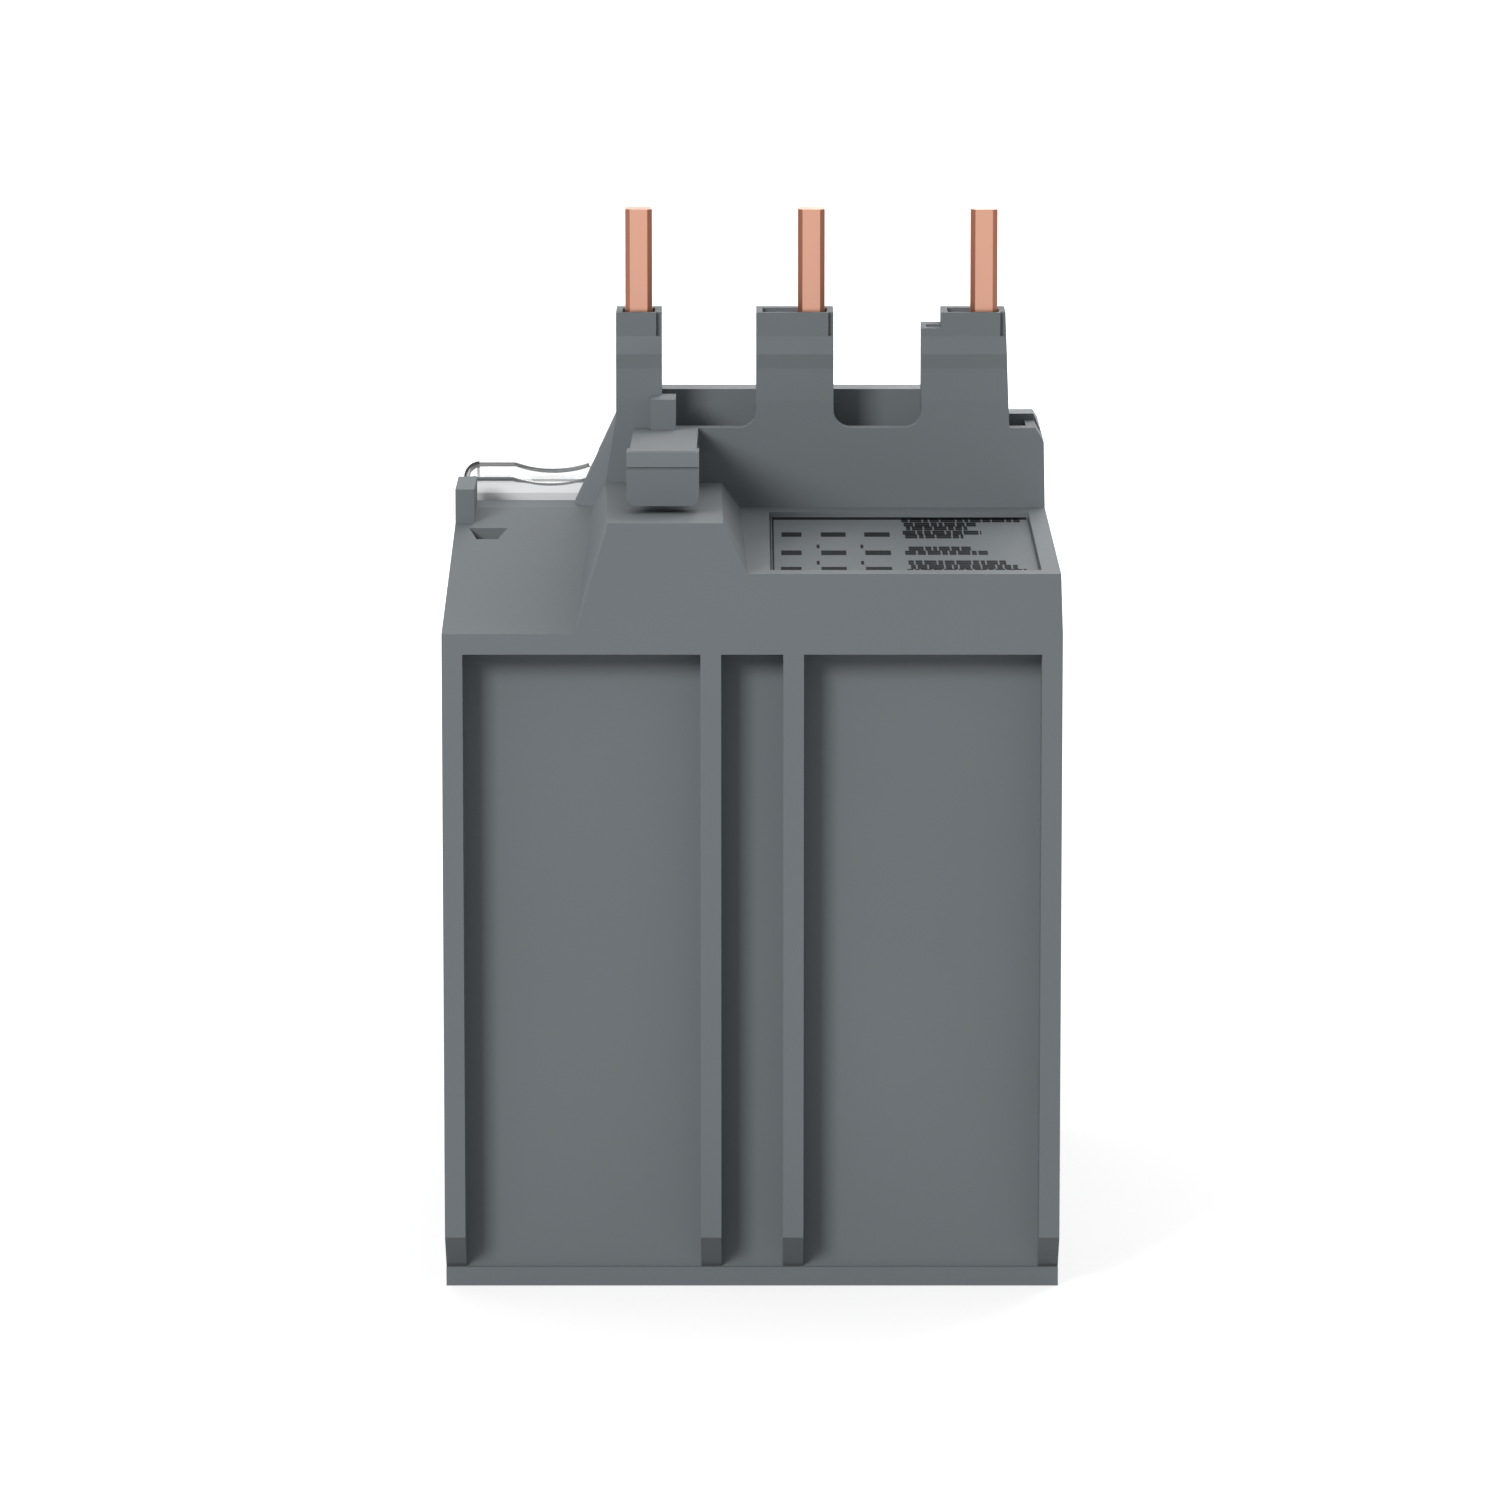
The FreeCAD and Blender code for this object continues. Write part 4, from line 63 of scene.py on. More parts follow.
# Materials
class Shader:
    """A node tree with a Principled shader and short calls for its usual nodes."""

    def __init__(self, name, color, roughness, **sockets):
        self.material = bpy.data.materials.new(name)
        self.material.use_nodes = True
        self.tree = self.material.node_tree
        self.bsdf = self.tree.nodes["Principled BSDF"]
        self.color = color
        self.set(Base_Color=(*color, 1.0), Roughness=roughness, **sockets)
        coordinates = self.node("ShaderNodeTexCoord")
        self.place = coordinates.outputs["Object"]
        self.normal = coordinates.outputs["Normal"]

    def set(self, **sockets):
        """Sets sockets of the shader by name, with _ for a space."""
        for name, value in sockets.items():
            self.bsdf.inputs[name.replace("_", " ")].default_value = value

    def node(self, kind, **inputs):
        """A node of a kind, with its inputs set or linked by name."""
        made = self.tree.nodes.new(kind)
        for name, value in inputs.items():
            self.feed(made.inputs[name.replace("_", " ")], value)
        return made

    def feed(self, socket, value):
        """Links a socket to another one, or sets its value."""
        if isinstance(value, bpy.types.NodeSocket):
            self.tree.links.new(value, socket)
        else:
            socket.default_value = value

    def noise(self, scale, detail, rough, stretch=None):
        """Noise with a scale in features per metre, stretched if asked."""
        place = self.place
        if stretch is not None:
            place = self.node("ShaderNodeMapping", Vector=place, Scale=stretch).outputs[0]
        made = self.node("ShaderNodeTexNoise", Vector=place, Scale=scale, Detail=detail,
                         Roughness=rough)
        return made.outputs["Fac"]

    def combine(self, operation, *values):
        """A math node over one value or two."""
        made = self.node("ShaderNodeMath")
        made.operation = operation
        for socket, value in zip(made.inputs, values):
            self.feed(socket, value)
        return made.outputs[0]

    def spread(self, source, low, high, start=0.3, end=0.7):
        """Maps a value between start and end to low and high."""
        made = self.node("ShaderNodeMapRange", Value=source)
        limits = (("From Min", start), ("From Max", end), ("To Min", low), ("To Max", high))
        for name, value in limits:
            made.inputs[name].default_value = value
        return made.outputs[0]

    def tint(self, source, low, high, dark=None):
        """Lets the colour run between two brightnesses of itself, or from a dark colour."""
        made = self.node("ShaderNodeMix")
        made.data_type = "RGBA"
        self.feed(made.inputs[MIX_SHARE], source)
        made.inputs[MIX_LOW].default_value = (*[c * low for c in dark or self.color], 1.0)
        made.inputs[MIX_HIGH].default_value = (*[min(1.0, c * high) for c in self.color], 1.0)
        self.feed(self.bsdf.inputs["Base Color"], made.outputs[MIX_RESULT])

    def polish(self, source, low, high):
        """Lets the roughness run between two values."""
        self.feed(self.bsdf.inputs["Roughness"], self.spread(source, low, high))

    def bump(self, source, strength, depth):
        """Bump from a height value; depth is in millimetres."""
        made = self.node("ShaderNodeBump", Height=source, Strength=strength, Distance=depth * MM)
        last = self.bsdf.inputs["Normal"]
        if last.is_linked:
            self.feed(made.inputs["Normal"], last.links[0].from_socket)
        self.feed(last, made.outputs[0])


def plastic(name, color, roughness, grain=4200.0, depth=0.012, cloud=0.05, gloss=0.22):
    """Moulded plastic: fine spark-eroded grain, faint flow clouds, uneven sheen."""
    shader = Shader(name, color, roughness, Specular_IOR_Level=gloss)
    shader.tint(shader.noise(scale=55.0, detail=2.0, rough=0.4), 1.0 - cloud, 1.0 + cloud)
    fine = shader.noise(scale=grain, detail=2.0, rough=0.6)
    shader.bump(fine, strength=0.55, depth=depth)
    shader.bump(shader.noise(scale=420.0, detail=2.0, rough=0.5), strength=0.25, depth=0.01)
    shader.polish(fine, roughness - 0.05, roughness + 0.05)
    return shader.material


def metal(name, color, roughness, stretch, scale=900.0):
    """Drawn or rolled metal: lines along one direction, and a slightly uneven tone."""
    shader = Shader(name, color, roughness, Metallic=1.0)
    lines = shader.noise(scale=scale, detail=3.0, rough=0.55, stretch=stretch)
    shader.tint(shader.noise(scale=160.0, detail=3.0, rough=0.5), 0.94, 1.06)
    shader.bump(lines, strength=0.4, depth=0.004)
    shader.polish(lines, roughness - 0.06, roughness + 0.08)
    return shader.material


def clear(name, color, alpha):
    """Clear polished plastic, thin enough to see through, with a faint moulding waviness."""
    shader = Shader(name, color, 0.06, IOR=1.49, Alpha=alpha)
    wave = shader.noise(scale=90.0, detail=1.0, rough=0.4)
    shader.bump(wave, strength=0.15, depth=0.02)
    shader.polish(wave, 0.03, 0.1)
    return shader.material


def copper_with_edge_shade(name, color, dark):
    """Drawn copper bar with painted shade on its chamfered long edges, where faces slant between
    x and y.
    """
    shader = Shader(name, color, 0.36, Metallic=0.75)
    lines = shader.noise(scale=900.0, detail=3.0, rough=0.55, stretch=(1.0, 1.0, 0.04))
    shader.bump(lines, strength=0.35, depth=0.003)
    shader.polish(lines, 0.3, 0.44)
    # Painted shade: the more a face slants between x and y, the nearer its colour comes to the
    # dark one
    facing = shader.node("ShaderNodeSeparateXYZ", Vector=shader.normal)
    corner = shader.combine("MULTIPLY", facing.outputs["X"], facing.outputs["Y"])
    share = shader.combine("ABSOLUTE", corner)
    shader.tint(shader.spread(share, 1.0, 0.0, start=0.08, end=0.4), 1.0, 1.0, dark)
    return shader.material


def woven(name, color):
    """Woven glass sleeve: crossed waves of thread."""
    shader = Shader(name, color, 0.85, Sheen_Weight=0.2)
    waves = []
    for axis in ("X", "Z"):
        made = shader.node("ShaderNodeTexWave", Vector=shader.place, Scale=700.0, Distortion=0.6)
        made.bands_direction = axis
        waves.append(made.outputs["Fac"])
    weave = shader.combine("MULTIPLY", *waves)
    shader.tint(weave, 0.82, 1.05)
    shader.bump(weave, strength=0.5, depth=0.04)
    return shader.material


GREY = (0.158, 0.175, 0.186)
MATERIALS = {
    "body_plastic": plastic("body_plastic", GREY, 0.65, gloss=0.06),
    "front_plastic": plastic("front_plastic", GREY, 0.57, gloss=0.12),
    "inner_plastic": plastic("inner_plastic", (0.62, 0.6, 0.54), 0.42, grain=2500.0, depth=0.004),
    "label_film": plastic("label_film", (0.148, 0.164, 0.174), 0.7, grain=3000.0, depth=0.003,
                          cloud=0.02, gloss=0.05),
    # dark is the colour of the painted shade on the copper pins' chamfered edges
    "copper": copper_with_edge_shade("copper", (0.57, 0.3, 0.215), dark=(0.3, 0.125, 0.078)),
    "brass_strip": metal("brass_strip", (0.78, 0.62, 0.34), 0.3, (0.06, 1.0, 1.0)),
    "bimetal": metal("bimetal", (0.6, 0.57, 0.52), 0.34, (1.0, 1.0, 0.05)),
    "heater_alloy": metal("heater_alloy", (0.42, 0.4, 0.37), 0.42, (0.1, 0.1, 1.0)),
    "insulation": woven("insulation", (0.86, 0.84, 0.76)),
    "plated_steel": metal("plated_steel", (0.5, 0.51, 0.5), 0.42, (1.0, 1.0, 1.0), scale=500.0),
    "spring_steel": metal("spring_steel", (0.55, 0.56, 0.58), 0.28, (1.0, 0.2, 1.0)),
    "flag_plastic": plastic("flag_plastic", (0.85, 0.35, 0.05), 0.35, grain=2500.0, depth=0.004),
    "dial_plastic": plastic("dial_plastic", (0.8, 0.8, 0.76), 0.4, grain=2600.0, depth=0.005),
    "reset_plastic": plastic("reset_plastic", (0.03, 0.16, 0.5), 0.33, grain=2600.0, depth=0.004),
    "stop_plastic": plastic("stop_plastic", (0.62, 0.03, 0.03), 0.33, grain=2600.0, depth=0.004),
    "test_plastic": plastic("test_plastic", (0.75, 0.74, 0.7), 0.36, grain=2600.0, depth=0.004),
    "clear_plastic": clear("clear_plastic", (0.52, 0.535, 0.54), alpha=0.22),
    # Dark of the painted shade lines along the clear cover's edges
    "clear_edge": clear("clear_edge", (0.12, 0.128, 0.132), alpha=1.0),
    # Near-white of the painted reflection band in the clear cover's rear wall
    "clear_pale_reflection": plastic("clear_pale_reflection", (0.94, 0.95, 0.96), 0.45, grain=2500.0, depth=0.003,
                           cloud=0.02),
    # Grey of the painted shade lines along the clear cover's bends
    "clear_bend": clear("clear_bend", (0.3, 0.32, 0.33), alpha=0.6),
    "print_black": plastic("print_black", (0.012, 0.013, 0.014), 0.8, grain=3000.0, depth=0.001,
                           cloud=0.02, gloss=0.04),
    "print_white": plastic("print_white", (0.72, 0.73, 0.72), 0.45, grain=3000.0, depth=0.001,
                           cloud=0.02),
    # Black of the hinge pins; the painted shade arcs at the cover's left corners use it too
    "black_pin": plastic("black_pin", (0.02, 0.02, 0.02), 0.35, grain=2500.0, depth=0.004),
}

for subpart in frame["record"]["subparts"]:
    node = NODES[subpart["node"]]
    node.data.materials.clear()
    node.data.materials.append(MATERIALS[subpart["material_slot"]])

# Softened edges of the carried-over nodes, in millimetres
EDGES = {
    "rear_housing": 0.12, "front_housing": 0.15, "power_block": 0.15, "rating_label": 0.03,
    "line_conductor_l1": 0.05, "line_conductor_l2": 0.05, "line_conductor_l3": 0.05,
    "clear_cover": 0.12, "cover_hinge_pins": 0.06, "setting_dial": 0.1, "reset_button": 0.12,
    "stop_button": 0.12, "test_button": 0.1, "reset_collar": 0.1, "load_screws": 0.1,
    "aux_screws": 0.08, "terminal_cage_t1": 0.1, "terminal_cage_t2": 0.1, "terminal_cage_t3": 0.1,
}
WELD = 0.0005
FLAT_ANGLE, ROUND_ANGLE = 0.5, 35.0
ROUND_SEGMENTS = 2


def soften(node, width):
    """Small rounds on a node's sharp edges, by modifiers only."""
    weld = node.modifiers.new("weld", "WELD")
    weld.merge_threshold = WELD * MM
    flat = node.modifiers.new("flat", "DECIMATE")
    flat.decimate_type = "DISSOLVE"
    flat.angle_limit = math.radians(FLAT_ANGLE)
    bevel = node.modifiers.new("round", "BEVEL")
    bevel.width = width * MM
    bevel.segments = ROUND_SEGMENTS
    bevel.limit_method = "ANGLE"
    bevel.angle_limit = math.radians(ROUND_ANGLE)
    bevel.use_clamp_overlap = True
    bevel.harden_normals = True


for name, width in EDGES.items():
    soften(NODES[name], width)


def mesh_piece(name, body, material, build):
    """A mesh made by a build function that fills a bmesh; it rides on a body."""
    form = bmesh.new()
    build(form)
    data = bpy.data.meshes.new(name)
    form.to_mesh(data)
    form.free()
    data.materials.append(MATERIALS[material])
    piece = bpy.data.objects.new(name, data)
    bpy.context.scene.collection.objects.link(piece)
    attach(piece, body)
    return piece


def plate(form, across, along, up):
    """A flat block between two x, two y and two z values, in millimetres."""
    for corner in bmesh.ops.create_cube(form, size=1.0)["verts"]:
        corner.co = [limits[place > 0] * MM
                     for limits, place in zip((across, along, up), corner.co)]


def skin(form, rings):
    """Faces between rings of vertices, with the first and the last ring closed."""
    form.faces.new(rings[0])
    form.faces.new(rings[-1][::-1])
    for near, far in zip(rings, rings[1:]):
        for i in range(len(near)):
            form.faces.new((near[i - 1], near[i], far[i], far[i - 1]))
    bmesh.ops.recalc_face_normals(form, faces=form.faces)


# Print on the rating label: dashes and bars where the real one has its small print
INK = 0.012
LABEL_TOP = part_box("rating_label")[1][2] / MM
CELL_ROWS = (12.0, 21.6, 30.0)
CELL_COLUMNS = ((-3.7, -2.2), (-7.0, -5.15), (-10.3, -8.4))
CELL_HALF, CELL_SHIFT = 1.15, 0.05
TICK_ACROSS, TICK_ALONG = (0.1, 0.32), (-4.2, -2.4)
TEXT_ROWS = ((4.3, -20.4), (6.6, -16.9), (8.7, -16.2), (11.0, -17.2), (13.0, -15.8),
             (19.4, -16.2), (21.6, -17.4), (26.6, -18.6), (28.8, -19.4), (30.9, -20.0))
TEXT_LENGTHS = (0.5, 0.9, 0.35, 0.7, 1.1, 0.45, 0.3, 0.8, 0.6, 0.95, 0.4)
TEXT_BARS = ((-1.02, -0.07), (0.07, 1.02))
TEXT_START, TEXT_INDENT, TEXT_GAP = -11.3, 0.15, 0.13
TEXT_CYCLE = 3
FAR_BORDER = (-20.8, -1.5), (2.7, 4.0)
LEFT_BORDER = (-1.62, -1.5), (4.0, 32.6)


def label_ink(form, across, along):
    """One mark on the label's top."""
    plate(form, across, along, (LABEL_TOP, LABEL_TOP + INK))


def label_cells(form):
    """Three rows of three long dashes, four of them with a short upright one beside them."""
    for row, y in enumerate(CELL_ROWS):
        shift = CELL_SHIFT * row
        for column, (right, left) in enumerate(CELL_COLUMNS):
            label_ink(form, (right + shift, left + shift), (y - CELL_HALF, y + CELL_HALF))
            if row and column:
                label_ink(form, [left + shift + edge for edge in TICK_ACROSS],
                          [y + edge for edge in TICK_ALONG])


def label_lines(form):
    """Lines of short dashes of uneven lengths, two bars to a line."""
    for row, (y, end) in enumerate(TEXT_ROWS):
        x = TEXT_START - TEXT_INDENT * (row % TEXT_CYCLE)
        step = row * TEXT_CYCLE
        while x > end:
            length = TEXT_LENGTHS[step % len(TEXT_LENGTHS)]
            for low, high in TEXT_BARS:
                label_ink(form, (max(x - length, end), x), (y + low, y + high))
            x -= length + TEXT_GAP
            step += 1


def label_border(form):
    """A black strip along the label's far side and a thin one along its left side."""
    label_ink(form, *FAR_BORDER)
    label_ink(form, *LEFT_BORDER)


mesh_piece("label_border", "root", "print_black", label_border)
mesh_piece("label_cells", "root", "print_black", label_cells)
mesh_piece("label_lines", "root", "print_black", label_lines)


# Print on the front: dashes in the marker fields, a pointer and numbers at the dial, and
# the marks of the reset collar. The last number of a field's row is its dash's half width
PANEL, BUTTON_FACE, AUX_FACE, LOAD_FACE = -31.0, -30.6, -26.6, -21.6
FIELDS = (
    ((-15.6, -5.2, 5.2, 15.6), AUX_FACE, (28.1, 28.7), 1.3),
    ((-14.3, 0.0, 14.3), LOAD_FACE, (16.1, 16.75), 1.7),
    ((-13.0, 0.0), BUTTON_FACE, (37.2, 37.8), 1.5),
)
DIAL_X, DIAL_Z, DIAL_FACE, DIAL_RADIUS = 17.25, 43.8, -33.6, 4.0
POINTER = 135.0
POINTER_TIP, POINTER_BASE, POINTER_HALF = 0.25, 1.1, 0.45
DIGITS, DIAL_STEP = 5, 67.5
DIGIT_SIZE, DIGIT_REACH, DIGIT_CURVE = 1.35, 2.65, 3
DIGIT_WELD = 0.0001
RESET_X, RESET_Z, COLLAR_FACE = 0.0, 43.0, -32.2
MARK_HALF = 0.25
COLLAR_MARK, COLLAR_STOP = (3.2, 3.8), (4.4, 5.3)


def front_marks(form):
    """A dash in the fields over each terminal and under each of the two buttons."""
    for places, face, up, half in FIELDS:
        for x in places:
            plate(form, (x - half, x + half), (face - INK, face), up)


def dial_pointer(form):
    """The small triangle on the panel that the dial's numbers pass."""
    turn = math.radians(POINTER)
    out, side = (math.cos(turn), math.sin(turn)), (-math.sin(turn), math.cos(turn))
    triangle = ((POINTER_TIP, 0.0), (POINTER_BASE, POINTER_HALF), (POINTER_BASE, -POINTER_HALF))
    rings = []
    for y in (PANEL, PANEL - INK):
        corners = []
        for beyond, across in triangle:
            reach = DIAL_RADIUS + beyond
            x = DIAL_X + out[0] * reach + side[0] * across
            z = DIAL_Z + out[1] * reach + side[1] * across
            corners.append(form.verts.new((x * MM, y * MM, z * MM)))
        rings.append(corners)
    skin(form, rings)


def dial_numbers(form):
    """Plain numbers round the dial's face, against its sense of turning."""
    for index in range(DIGITS):
        letters = bpy.data.curves.new("number", "FONT")
        letters.body = str(index + 1)
        letters.size = DIGIT_SIZE * MM
        letters.extrude = INK / 2 * MM
        letters.resolution_u = DIGIT_CURVE
        letters.align_x = "CENTER"
        holder = bpy.data.objects.new("number", letters)
        digit = bpy.data.meshes.new_from_object(holder)
        turn = math.radians(POINTER + DIAL_STEP * index)
        out, side = (math.cos(turn), math.sin(turn)), (math.sin(turn), -math.cos(turn))
        for vertex in digit.vertices:
            u, w = vertex.co.x, vertex.co.y + DIGIT_REACH * MM
            vertex.co = (DIAL_X * MM + side[0] * u + out[0] * w,
                         DIAL_FACE * MM - vertex.co.z - INK / 2 * MM,
                         DIAL_Z * MM + side[1] * u + out[1] * w)
        form.from_mesh(digit)
        bpy.data.objects.remove(holder)
        bpy.data.curves.remove(letters)
        bpy.data.meshes.remove(digit)
    bmesh.ops.remove_doubles(form, verts=form.verts, dist=DIGIT_WELD * MM)
    bmesh.ops.recalc_face_normals(form, faces=form.faces)


def collar_mark(form):
    """The white mark on the reset collar's ring."""
    plate(form, (RESET_X - MARK_HALF, RESET_X + MARK_HALF), (COLLAR_FACE - INK, COLLAR_FACE),
          [RESET_Z + edge for edge in COLLAR_MARK])


def collar_stops(form):
    """Two small marks behind the collar, for its two places."""
    along = (BUTTON_FACE - INK, BUTTON_FACE)
    plate(form, (RESET_X - MARK_HALF, RESET_X + MARK_HALF), along,
          [RESET_Z + edge for edge in COLLAR_STOP])
    plate(form, [RESET_X + edge for edge in COLLAR_STOP], along,
          (RESET_Z - MARK_HALF, RESET_Z + MARK_HALF))


mesh_piece("collar_mark", "reset_collar", "print_white", collar_mark)
mesh_piece("collar_stops", "root", "print_white", collar_stops)
mesh_piece("front_marks", "root", "print_white", front_marks)
mesh_piece("dial_pointer", "root", "print_white", dial_pointer)
mesh_piece("dial_numbers", "setting_dial", "print_black", dial_numbers)


# Return springs of round wire with closed ends; the real ones shorten as their buttons go in,
# these are built once at full length.
# Each one is named with the joint of its button and that joint's travel
SPRINGS = (
    ("reset_spring", "reset_push", 2.2),
    ("stop_spring", "stop_push", 2.2),
    ("test_spring", "test_push", 1.5),
)
WIRE, WIRE_SIDES = 0.175, 8
SPRING_TURNS, END_TURNS, TURN_STEPS = 5.0, 0.8, 24


def coil(name):
    """A build function for the spring that fills a node's box, with its seat and length."""
    (right, front, low), (left, rear, high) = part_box(name)
    middle_x, middle_z = (right + left) / 2, (low + high) / 2
    radius = (left - right) / 2 - WIRE * MM
    length = rear - front - WIRE * 2 * MM

    def build(form):
        turns = SPRING_TURNS + END_TURNS * 2
        steps = int(turns * TURN_STEPS)
        rings = []
        for step in range(steps + 1):
            turn = turns * step / steps
            share = min(max((turn - END_TURNS) / SPRING_TURNS, 0.0), 1.0)
            angle = math.tau * turn
            y = front + WIRE * MM + length * share
            ring = []
            for side in range(WIRE_SIDES):
                tilt = math.tau * side / WIRE_SIDES
                reach = radius + WIRE * MM * math.cos(tilt)
                ring.append(form.verts.new((middle_x + reach * math.cos(angle),
                                            y + WIRE * MM * math.sin(tilt),
                                            middle_z + reach * math.sin(angle))))
            rings.append(ring)
        skin(form, rings)
        for face in form.faces:
            face.smooth = True

    return build, (middle_x, rear, middle_z), rear - front


for name, joint, travel in SPRINGS:
    build, seat, length = coil(name)
    piece = mesh_piece(name + "_coil", "root", "spring_steel", build)
    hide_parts(name)
    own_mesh(piece)


# The clear cover, in millimetres: the light runs out at its edges, so they look dark; that shade
# is painted on as dark and grey lines along them
COVER_LEFT, COVER_RIGHT = 22.3, 12.2
COVER_TOP, COVER_LOW, COVER_BOTTOM = 54.75, 52.9, 31.6
COVER_REAR, COVER_BEND, COVER_FRONT = -5.4, -15.0, -35.0
COVER_SLANT = 2.2
DIP_X, DIP_HALF, DIP_DEPTH = 15.5, 2.9, 0.5
CORNER, CORNER_IN = 1.0, 0.06
LINE_STEPS, CORNER_STEPS = 36, 6
# Rows across the cover, as name, y and z, and the radii of all its lines
CROSS_LINES = (
    ("near", COVER_REAR - 0.95, COVER_TOP - 0.1),
    ("far", COVER_BEND, COVER_TOP - 0.12),
)
LINE_RADIUS, CORNER_RADIUS, SIDE_RADIUS, BROW_RADIUS = 0.17, 0.25, 0.12, 0.1
# Depth of the side lines and of the foot and brow lines under the cover's faces
SIDE_IN, FOOT_IN = 0.36, 0.16


def line(name, body, material, points, radius):
    """A thin round line through points in millimetres; it rides on a body."""
    data = bpy.data.curves.new(name, "CURVE")
    data.dimensions = "3D"
    data.bevel_depth = radius * MM
    data.bevel_resolution = 2
    data.use_fill_caps = True
    spline = data.splines.new("POLY")
    spline.points.add(len(points) - 1)
    for point, place in zip(spline.points, points):
        point.co = (place[0] * MM, place[1] * MM, place[2] * MM, 1.0)
    data.materials.append(MATERIALS[material])
    piece = bpy.data.objects.new(name, data)
    bpy.context.scene.collection.objects.link(piece)
    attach(piece, body)


def dip_fall(x):
    """How far the finger dip falls at a place across the cover."""
    radius = (DIP_HALF ** 2 + DIP_DEPTH ** 2) / (DIP_DEPTH * 2)
    across = min(abs(x - DIP_X), DIP_HALF)
    return DIP_DEPTH - radius + math.sqrt(radius ** 2 - across ** 2)


def cover_line(y, top):
    """Points over the cover from its right corner to its left one."""
    right = COVER_RIGHT + CORNER / 2
    reach = COVER_LEFT - CORNER - right
    across = [right + reach * i / LINE_STEPS for i in range(LINE_STEPS + 1)]
    return [(x, y, top - dip_fall(x)) for x in across]


def cover_corner(y, top):
    """Points over the cover's rounded left side, down from its top."""
    x = COVER_LEFT - CORNER - CORNER_IN
    turns = [math.radians(90.0 * i / CORNER_STEPS) for i in range(CORNER_STEPS + 1)]
    return [(x + CORNER * math.sin(turn), y, top - CORNER * (1.0 - math.cos(turn)))
            for turn in turns]


# Painted shade: a dark line across the cover near its rear edge and one at its bend
for name, y, top in CROSS_LINES:
    line("cover_edge_shade_" + name, "clear_cover", "clear_edge", cover_line(y, top), LINE_RADIUS)
    # Painted shade: black arcs for the dark look of the clear cover's rounded left corners, in
    # the hinge pins' black
    line("cover_corner_shade_" + name, "clear_cover", "black_pin", cover_corner(y, top), CORNER_RADIUS)


# The pale band in the cover's rear wall, painted reflection of its clear bevel: its ends, and its
# section from the rear top edge
BAND_RIGHT, BAND_LEFT, BAND_STEPS = COVER_RIGHT + 0.7, COVER_LEFT - 0.9, 28
BAND_IN, BAND_BEVEL, BAND_FOOT = 0.1, 1.06, 2.25
BAND_TOP_FRONT, BAND_INNER, BAND_INNER_TOP = 1.5, 0.55, 1.15


def cover_pale_reflection(form):
    """The pale band in the cover's rear wall and its bevelled corner, over the hinge: painted
    reflection of the clear plastic there.
    """
    rows = []
    for step in range(BAND_STEPS + 1):
        x = BAND_RIGHT + (BAND_LEFT - BAND_RIGHT) * step / BAND_STEPS
        fall = dip_fall(x)
        outline = ((-BAND_IN, -BAND_FOOT), (-BAND_IN, -BAND_BEVEL),
                   (-BAND_BEVEL + fall, -BAND_IN - fall),
                   (-BAND_TOP_FRONT + fall, -BAND_IN - fall),
                   (-BAND_INNER, -BAND_INNER_TOP), (-BAND_INNER, -BAND_FOOT))
        rows.append([form.verts.new((x * MM, (COVER_REAR + y) * MM, (COVER_TOP + z) * MM))
                     for y, z in outline])
    skin(form, rows)


mesh_piece("cover_pale_reflection", "clear_cover", "clear_pale_reflection", cover_pale_reflection)

# Painted shade: grey lines along the cover's side bends and front brow, and a dark one round its
# foot
for name, x in (("left", COVER_LEFT - SIDE_IN), ("right", COVER_RIGHT + SIDE_IN)):
    profile = ((COVER_REAR - 0.8, COVER_TOP - SIDE_IN), (COVER_BEND, COVER_TOP - SIDE_IN),
               (COVER_FRONT + COVER_SLANT, COVER_LOW - SIDE_IN),
               (COVER_FRONT + SIDE_IN, COVER_LOW - COVER_SLANT),
               (COVER_FRONT + SIDE_IN, COVER_BOTTOM + FOOT_IN))
    line("cover_bend_shade_" + name, "clear_cover", "clear_bend", [(x, y, z) for y, z in profile],
         SIDE_RADIUS)

FOOT = ((COVER_LEFT - FOOT_IN, PANEL - 0.5), (COVER_LEFT - FOOT_IN, COVER_FRONT + 0.5),
        (COVER_LEFT - 0.6, COVER_FRONT + FOOT_IN), (COVER_RIGHT + 0.6, COVER_FRONT + FOOT_IN),
        (COVER_RIGHT + FOOT_IN, COVER_FRONT + 0.5), (COVER_RIGHT + FOOT_IN, PANEL - 0.5))
line("cover_foot_shade", "clear_cover", "clear_edge", [(x, y, COVER_BOTTOM + FOOT_IN) for x, y in FOOT],
     SIDE_RADIUS)
line("cover_brow_shade", "clear_cover", "clear_bend",
     [(x, COVER_FRONT + FOOT_IN, COVER_LOW - COVER_SLANT)
      for x in (COVER_RIGHT + 0.8, COVER_LEFT - 0.8)], BROW_RADIUS)


# Camera, fitted to the photograph; the tilt is in degrees up from straight down
LENS = 205.6
SENSOR = 36.0
CLIP_START = 0.01
TILT = 80.5
CAMERA_AT = (0.16 * MM, 647.85 * MM, 142.96 * MM)
# Light and stage, in metres
MIDDLE = (0.0, 0.0, 38 * MM)
FLOOR_HALF, FLOOR_GREY = 3.0, 0.5
SHADOW_NEAR, SHADOW_FAR, SHADOW_GLOW = 0.05, 0.4, 0.62
WORLD_LIGHT = 0.46


def area(name, place, aim, size, power):
    """A soft square lamp at a place in metres that looks at a point; its power is in watts."""
    data = bpy.data.lights.new(name, "AREA")
    data.size = size
    data.energy = power
    lamp = bpy.data.objects.new(name, data)
    lamp.location = place
    lamp.rotation_euler = (Vector(aim) - Vector(place)).to_track_quat("-Z", "Y").to_euler()
    bpy.context.scene.collection.objects.link(lamp)


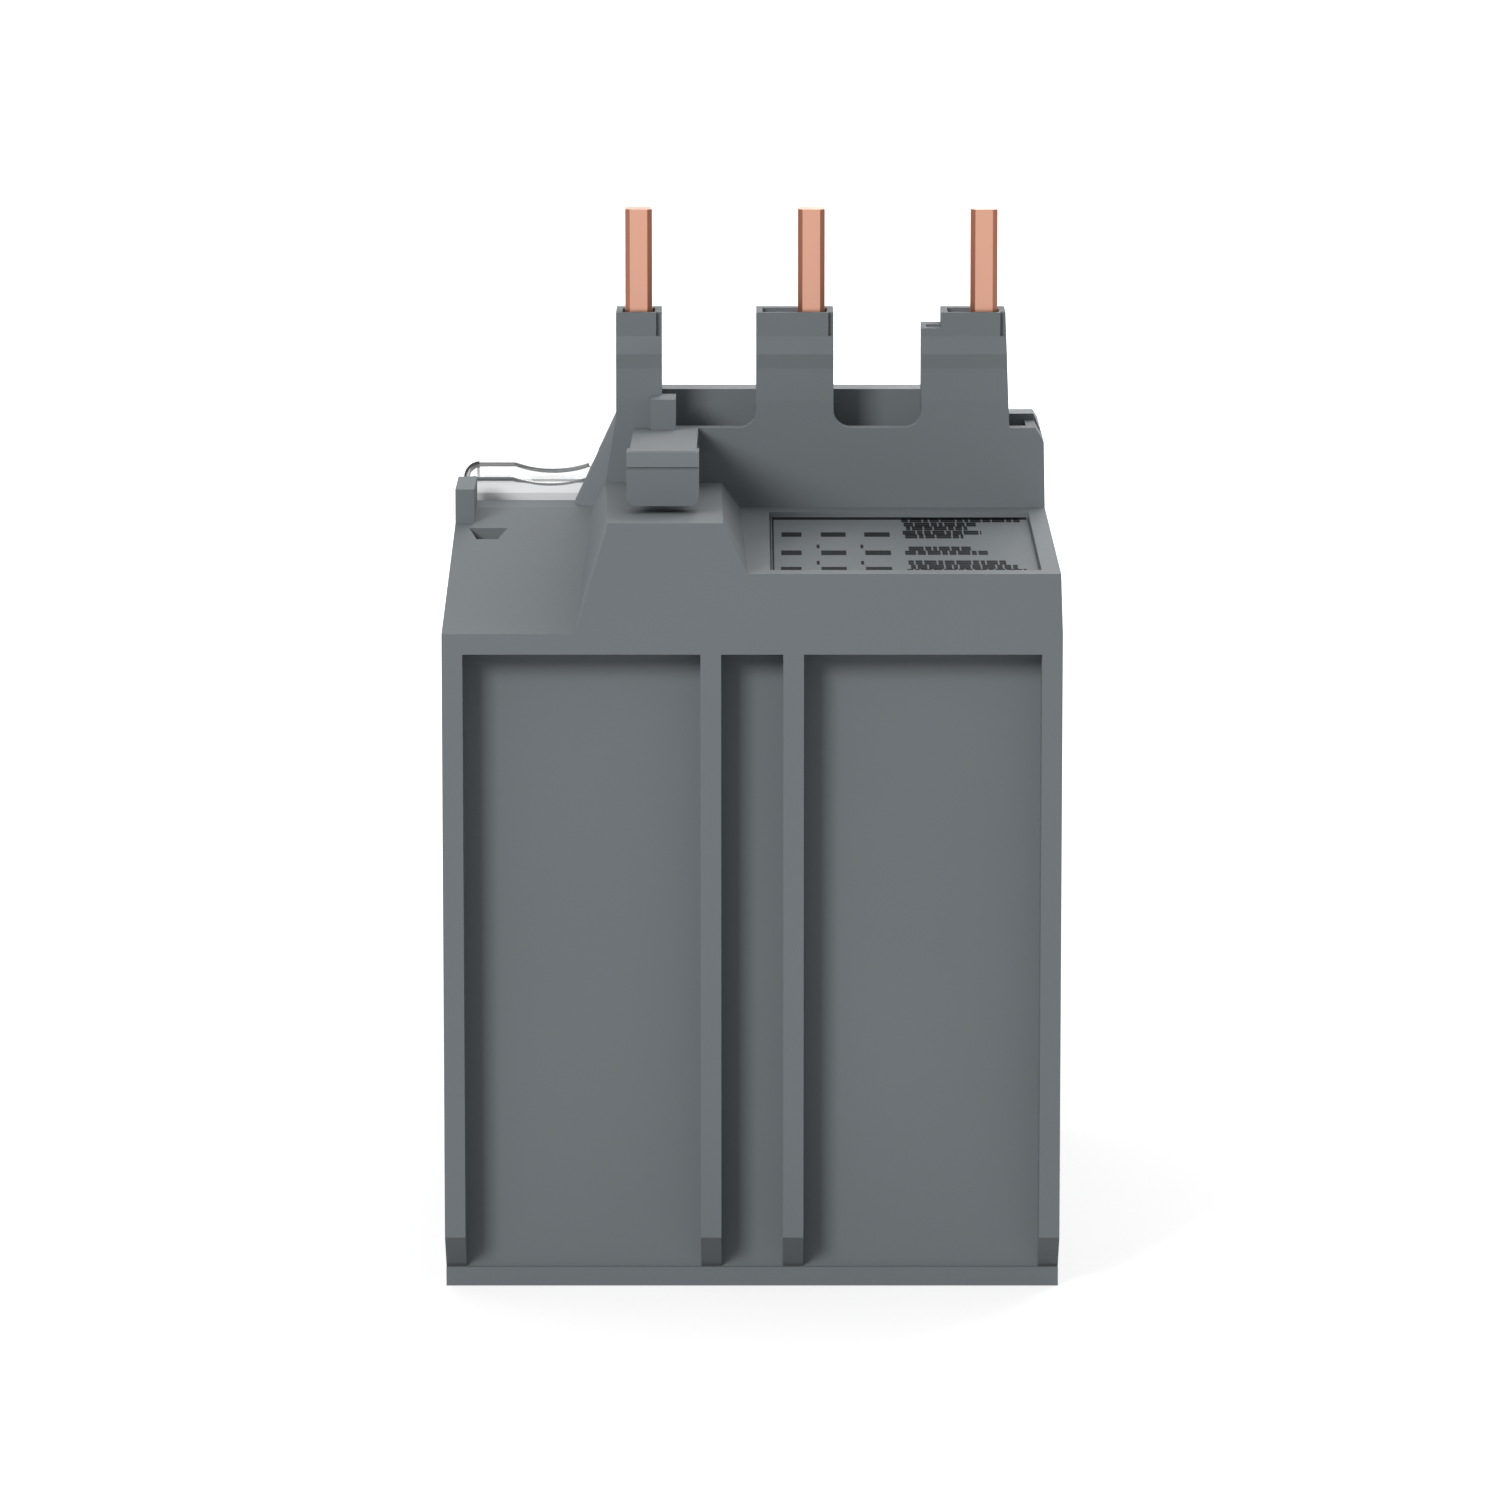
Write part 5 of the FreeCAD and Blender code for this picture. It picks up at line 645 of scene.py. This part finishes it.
def seen(tree):
    """Is 1 for camera rays and for the rays of reflections and clear pieces."""
    rays = tree.nodes.new("ShaderNodeLightPath")
    value = rays.outputs["Is Camera Ray"]
    for kind in ("Is Glossy Ray", "Is Transmission Ray"):
        most = tree.nodes.new("ShaderNodeMath")
        most.operation = "MAXIMUM"
        tree.links.new(value, most.inputs[0])
        tree.links.new(rays.outputs[kind], most.inputs[1])
        value = most.outputs[0]
    return value


camera = bpy.data.objects.new("camera", bpy.data.cameras.new("camera"))
camera.data.lens = LENS
camera.data.sensor_width = SENSOR
camera.data.clip_start = CLIP_START
camera.location = CAMERA_AT
camera.rotation_euler = (math.radians(TILT), 0.0, math.pi)
bpy.context.scene.collection.objects.link(camera)
bpy.context.scene.camera = camera

area("key", (0.436, 0.743, 0.44), MIDDLE, size=0.28, power=5.75)
area("top", (0.15, -0.2, 0.8), MIDDLE, size=0.5, power=1.15)
area("front", (-0.3, -0.72, 0.42), MIDDLE, size=0.6, power=6.0)

# Floor: grey to the light; to the camera white, and a little darker near the part, so that
# its shadow stays soft
floor_look = Shader("floor", (FLOOR_GREY,) * 3, 0.9, Specular_IOR_Level=0.0, Emission_Color=WHITE)
reach = floor_look.node("ShaderNodeVectorMath", Vector=floor_look.place)
reach.operation = "LENGTH"
fade = floor_look.spread(reach.outputs["Value"], SHADOW_GLOW, 1.0, SHADOW_NEAR, SHADOW_FAR)
glow = floor_look.combine("MULTIPLY", seen(floor_look.tree), fade)
floor_look.feed(floor_look.bsdf.inputs["Emission Strength"], glow)

floor_form = bmesh.new()
bmesh.ops.create_grid(floor_form, x_segments=1, y_segments=1, size=FLOOR_HALF)
floor_mesh = bpy.data.meshes.new("floor")
floor_form.to_mesh(floor_mesh)
floor_form.free()
floor_mesh.materials.append(floor_look.material)
floor = bpy.data.objects.new("floor", floor_mesh)
bpy.context.scene.collection.objects.link(floor)

# World: dim for the light, white where it is seen
world = bpy.data.worlds.new("world")
bpy.context.scene.world = world
world.use_nodes = True
world_tree = world.node_tree
dim = world_tree.nodes["Background"]
dim.inputs["Color"].default_value = WHITE
dim.inputs["Strength"].default_value = WORLD_LIGHT
white = world_tree.nodes.new("ShaderNodeBackground")
white.inputs["Color"].default_value = WHITE
white.inputs["Strength"].default_value = 1.0
mix = world_tree.nodes.new("ShaderNodeMixShader")
world_tree.links.new(seen(world_tree), mix.inputs[0])
world_tree.links.new(dim.outputs[0], mix.inputs[1])
world_tree.links.new(white.outputs[0], mix.inputs[2])
world_tree.links.new(mix.outputs[0], world_tree.nodes["World Output"].inputs["Surface"])

bpy.context.scene.view_settings.view_transform = "Standard"
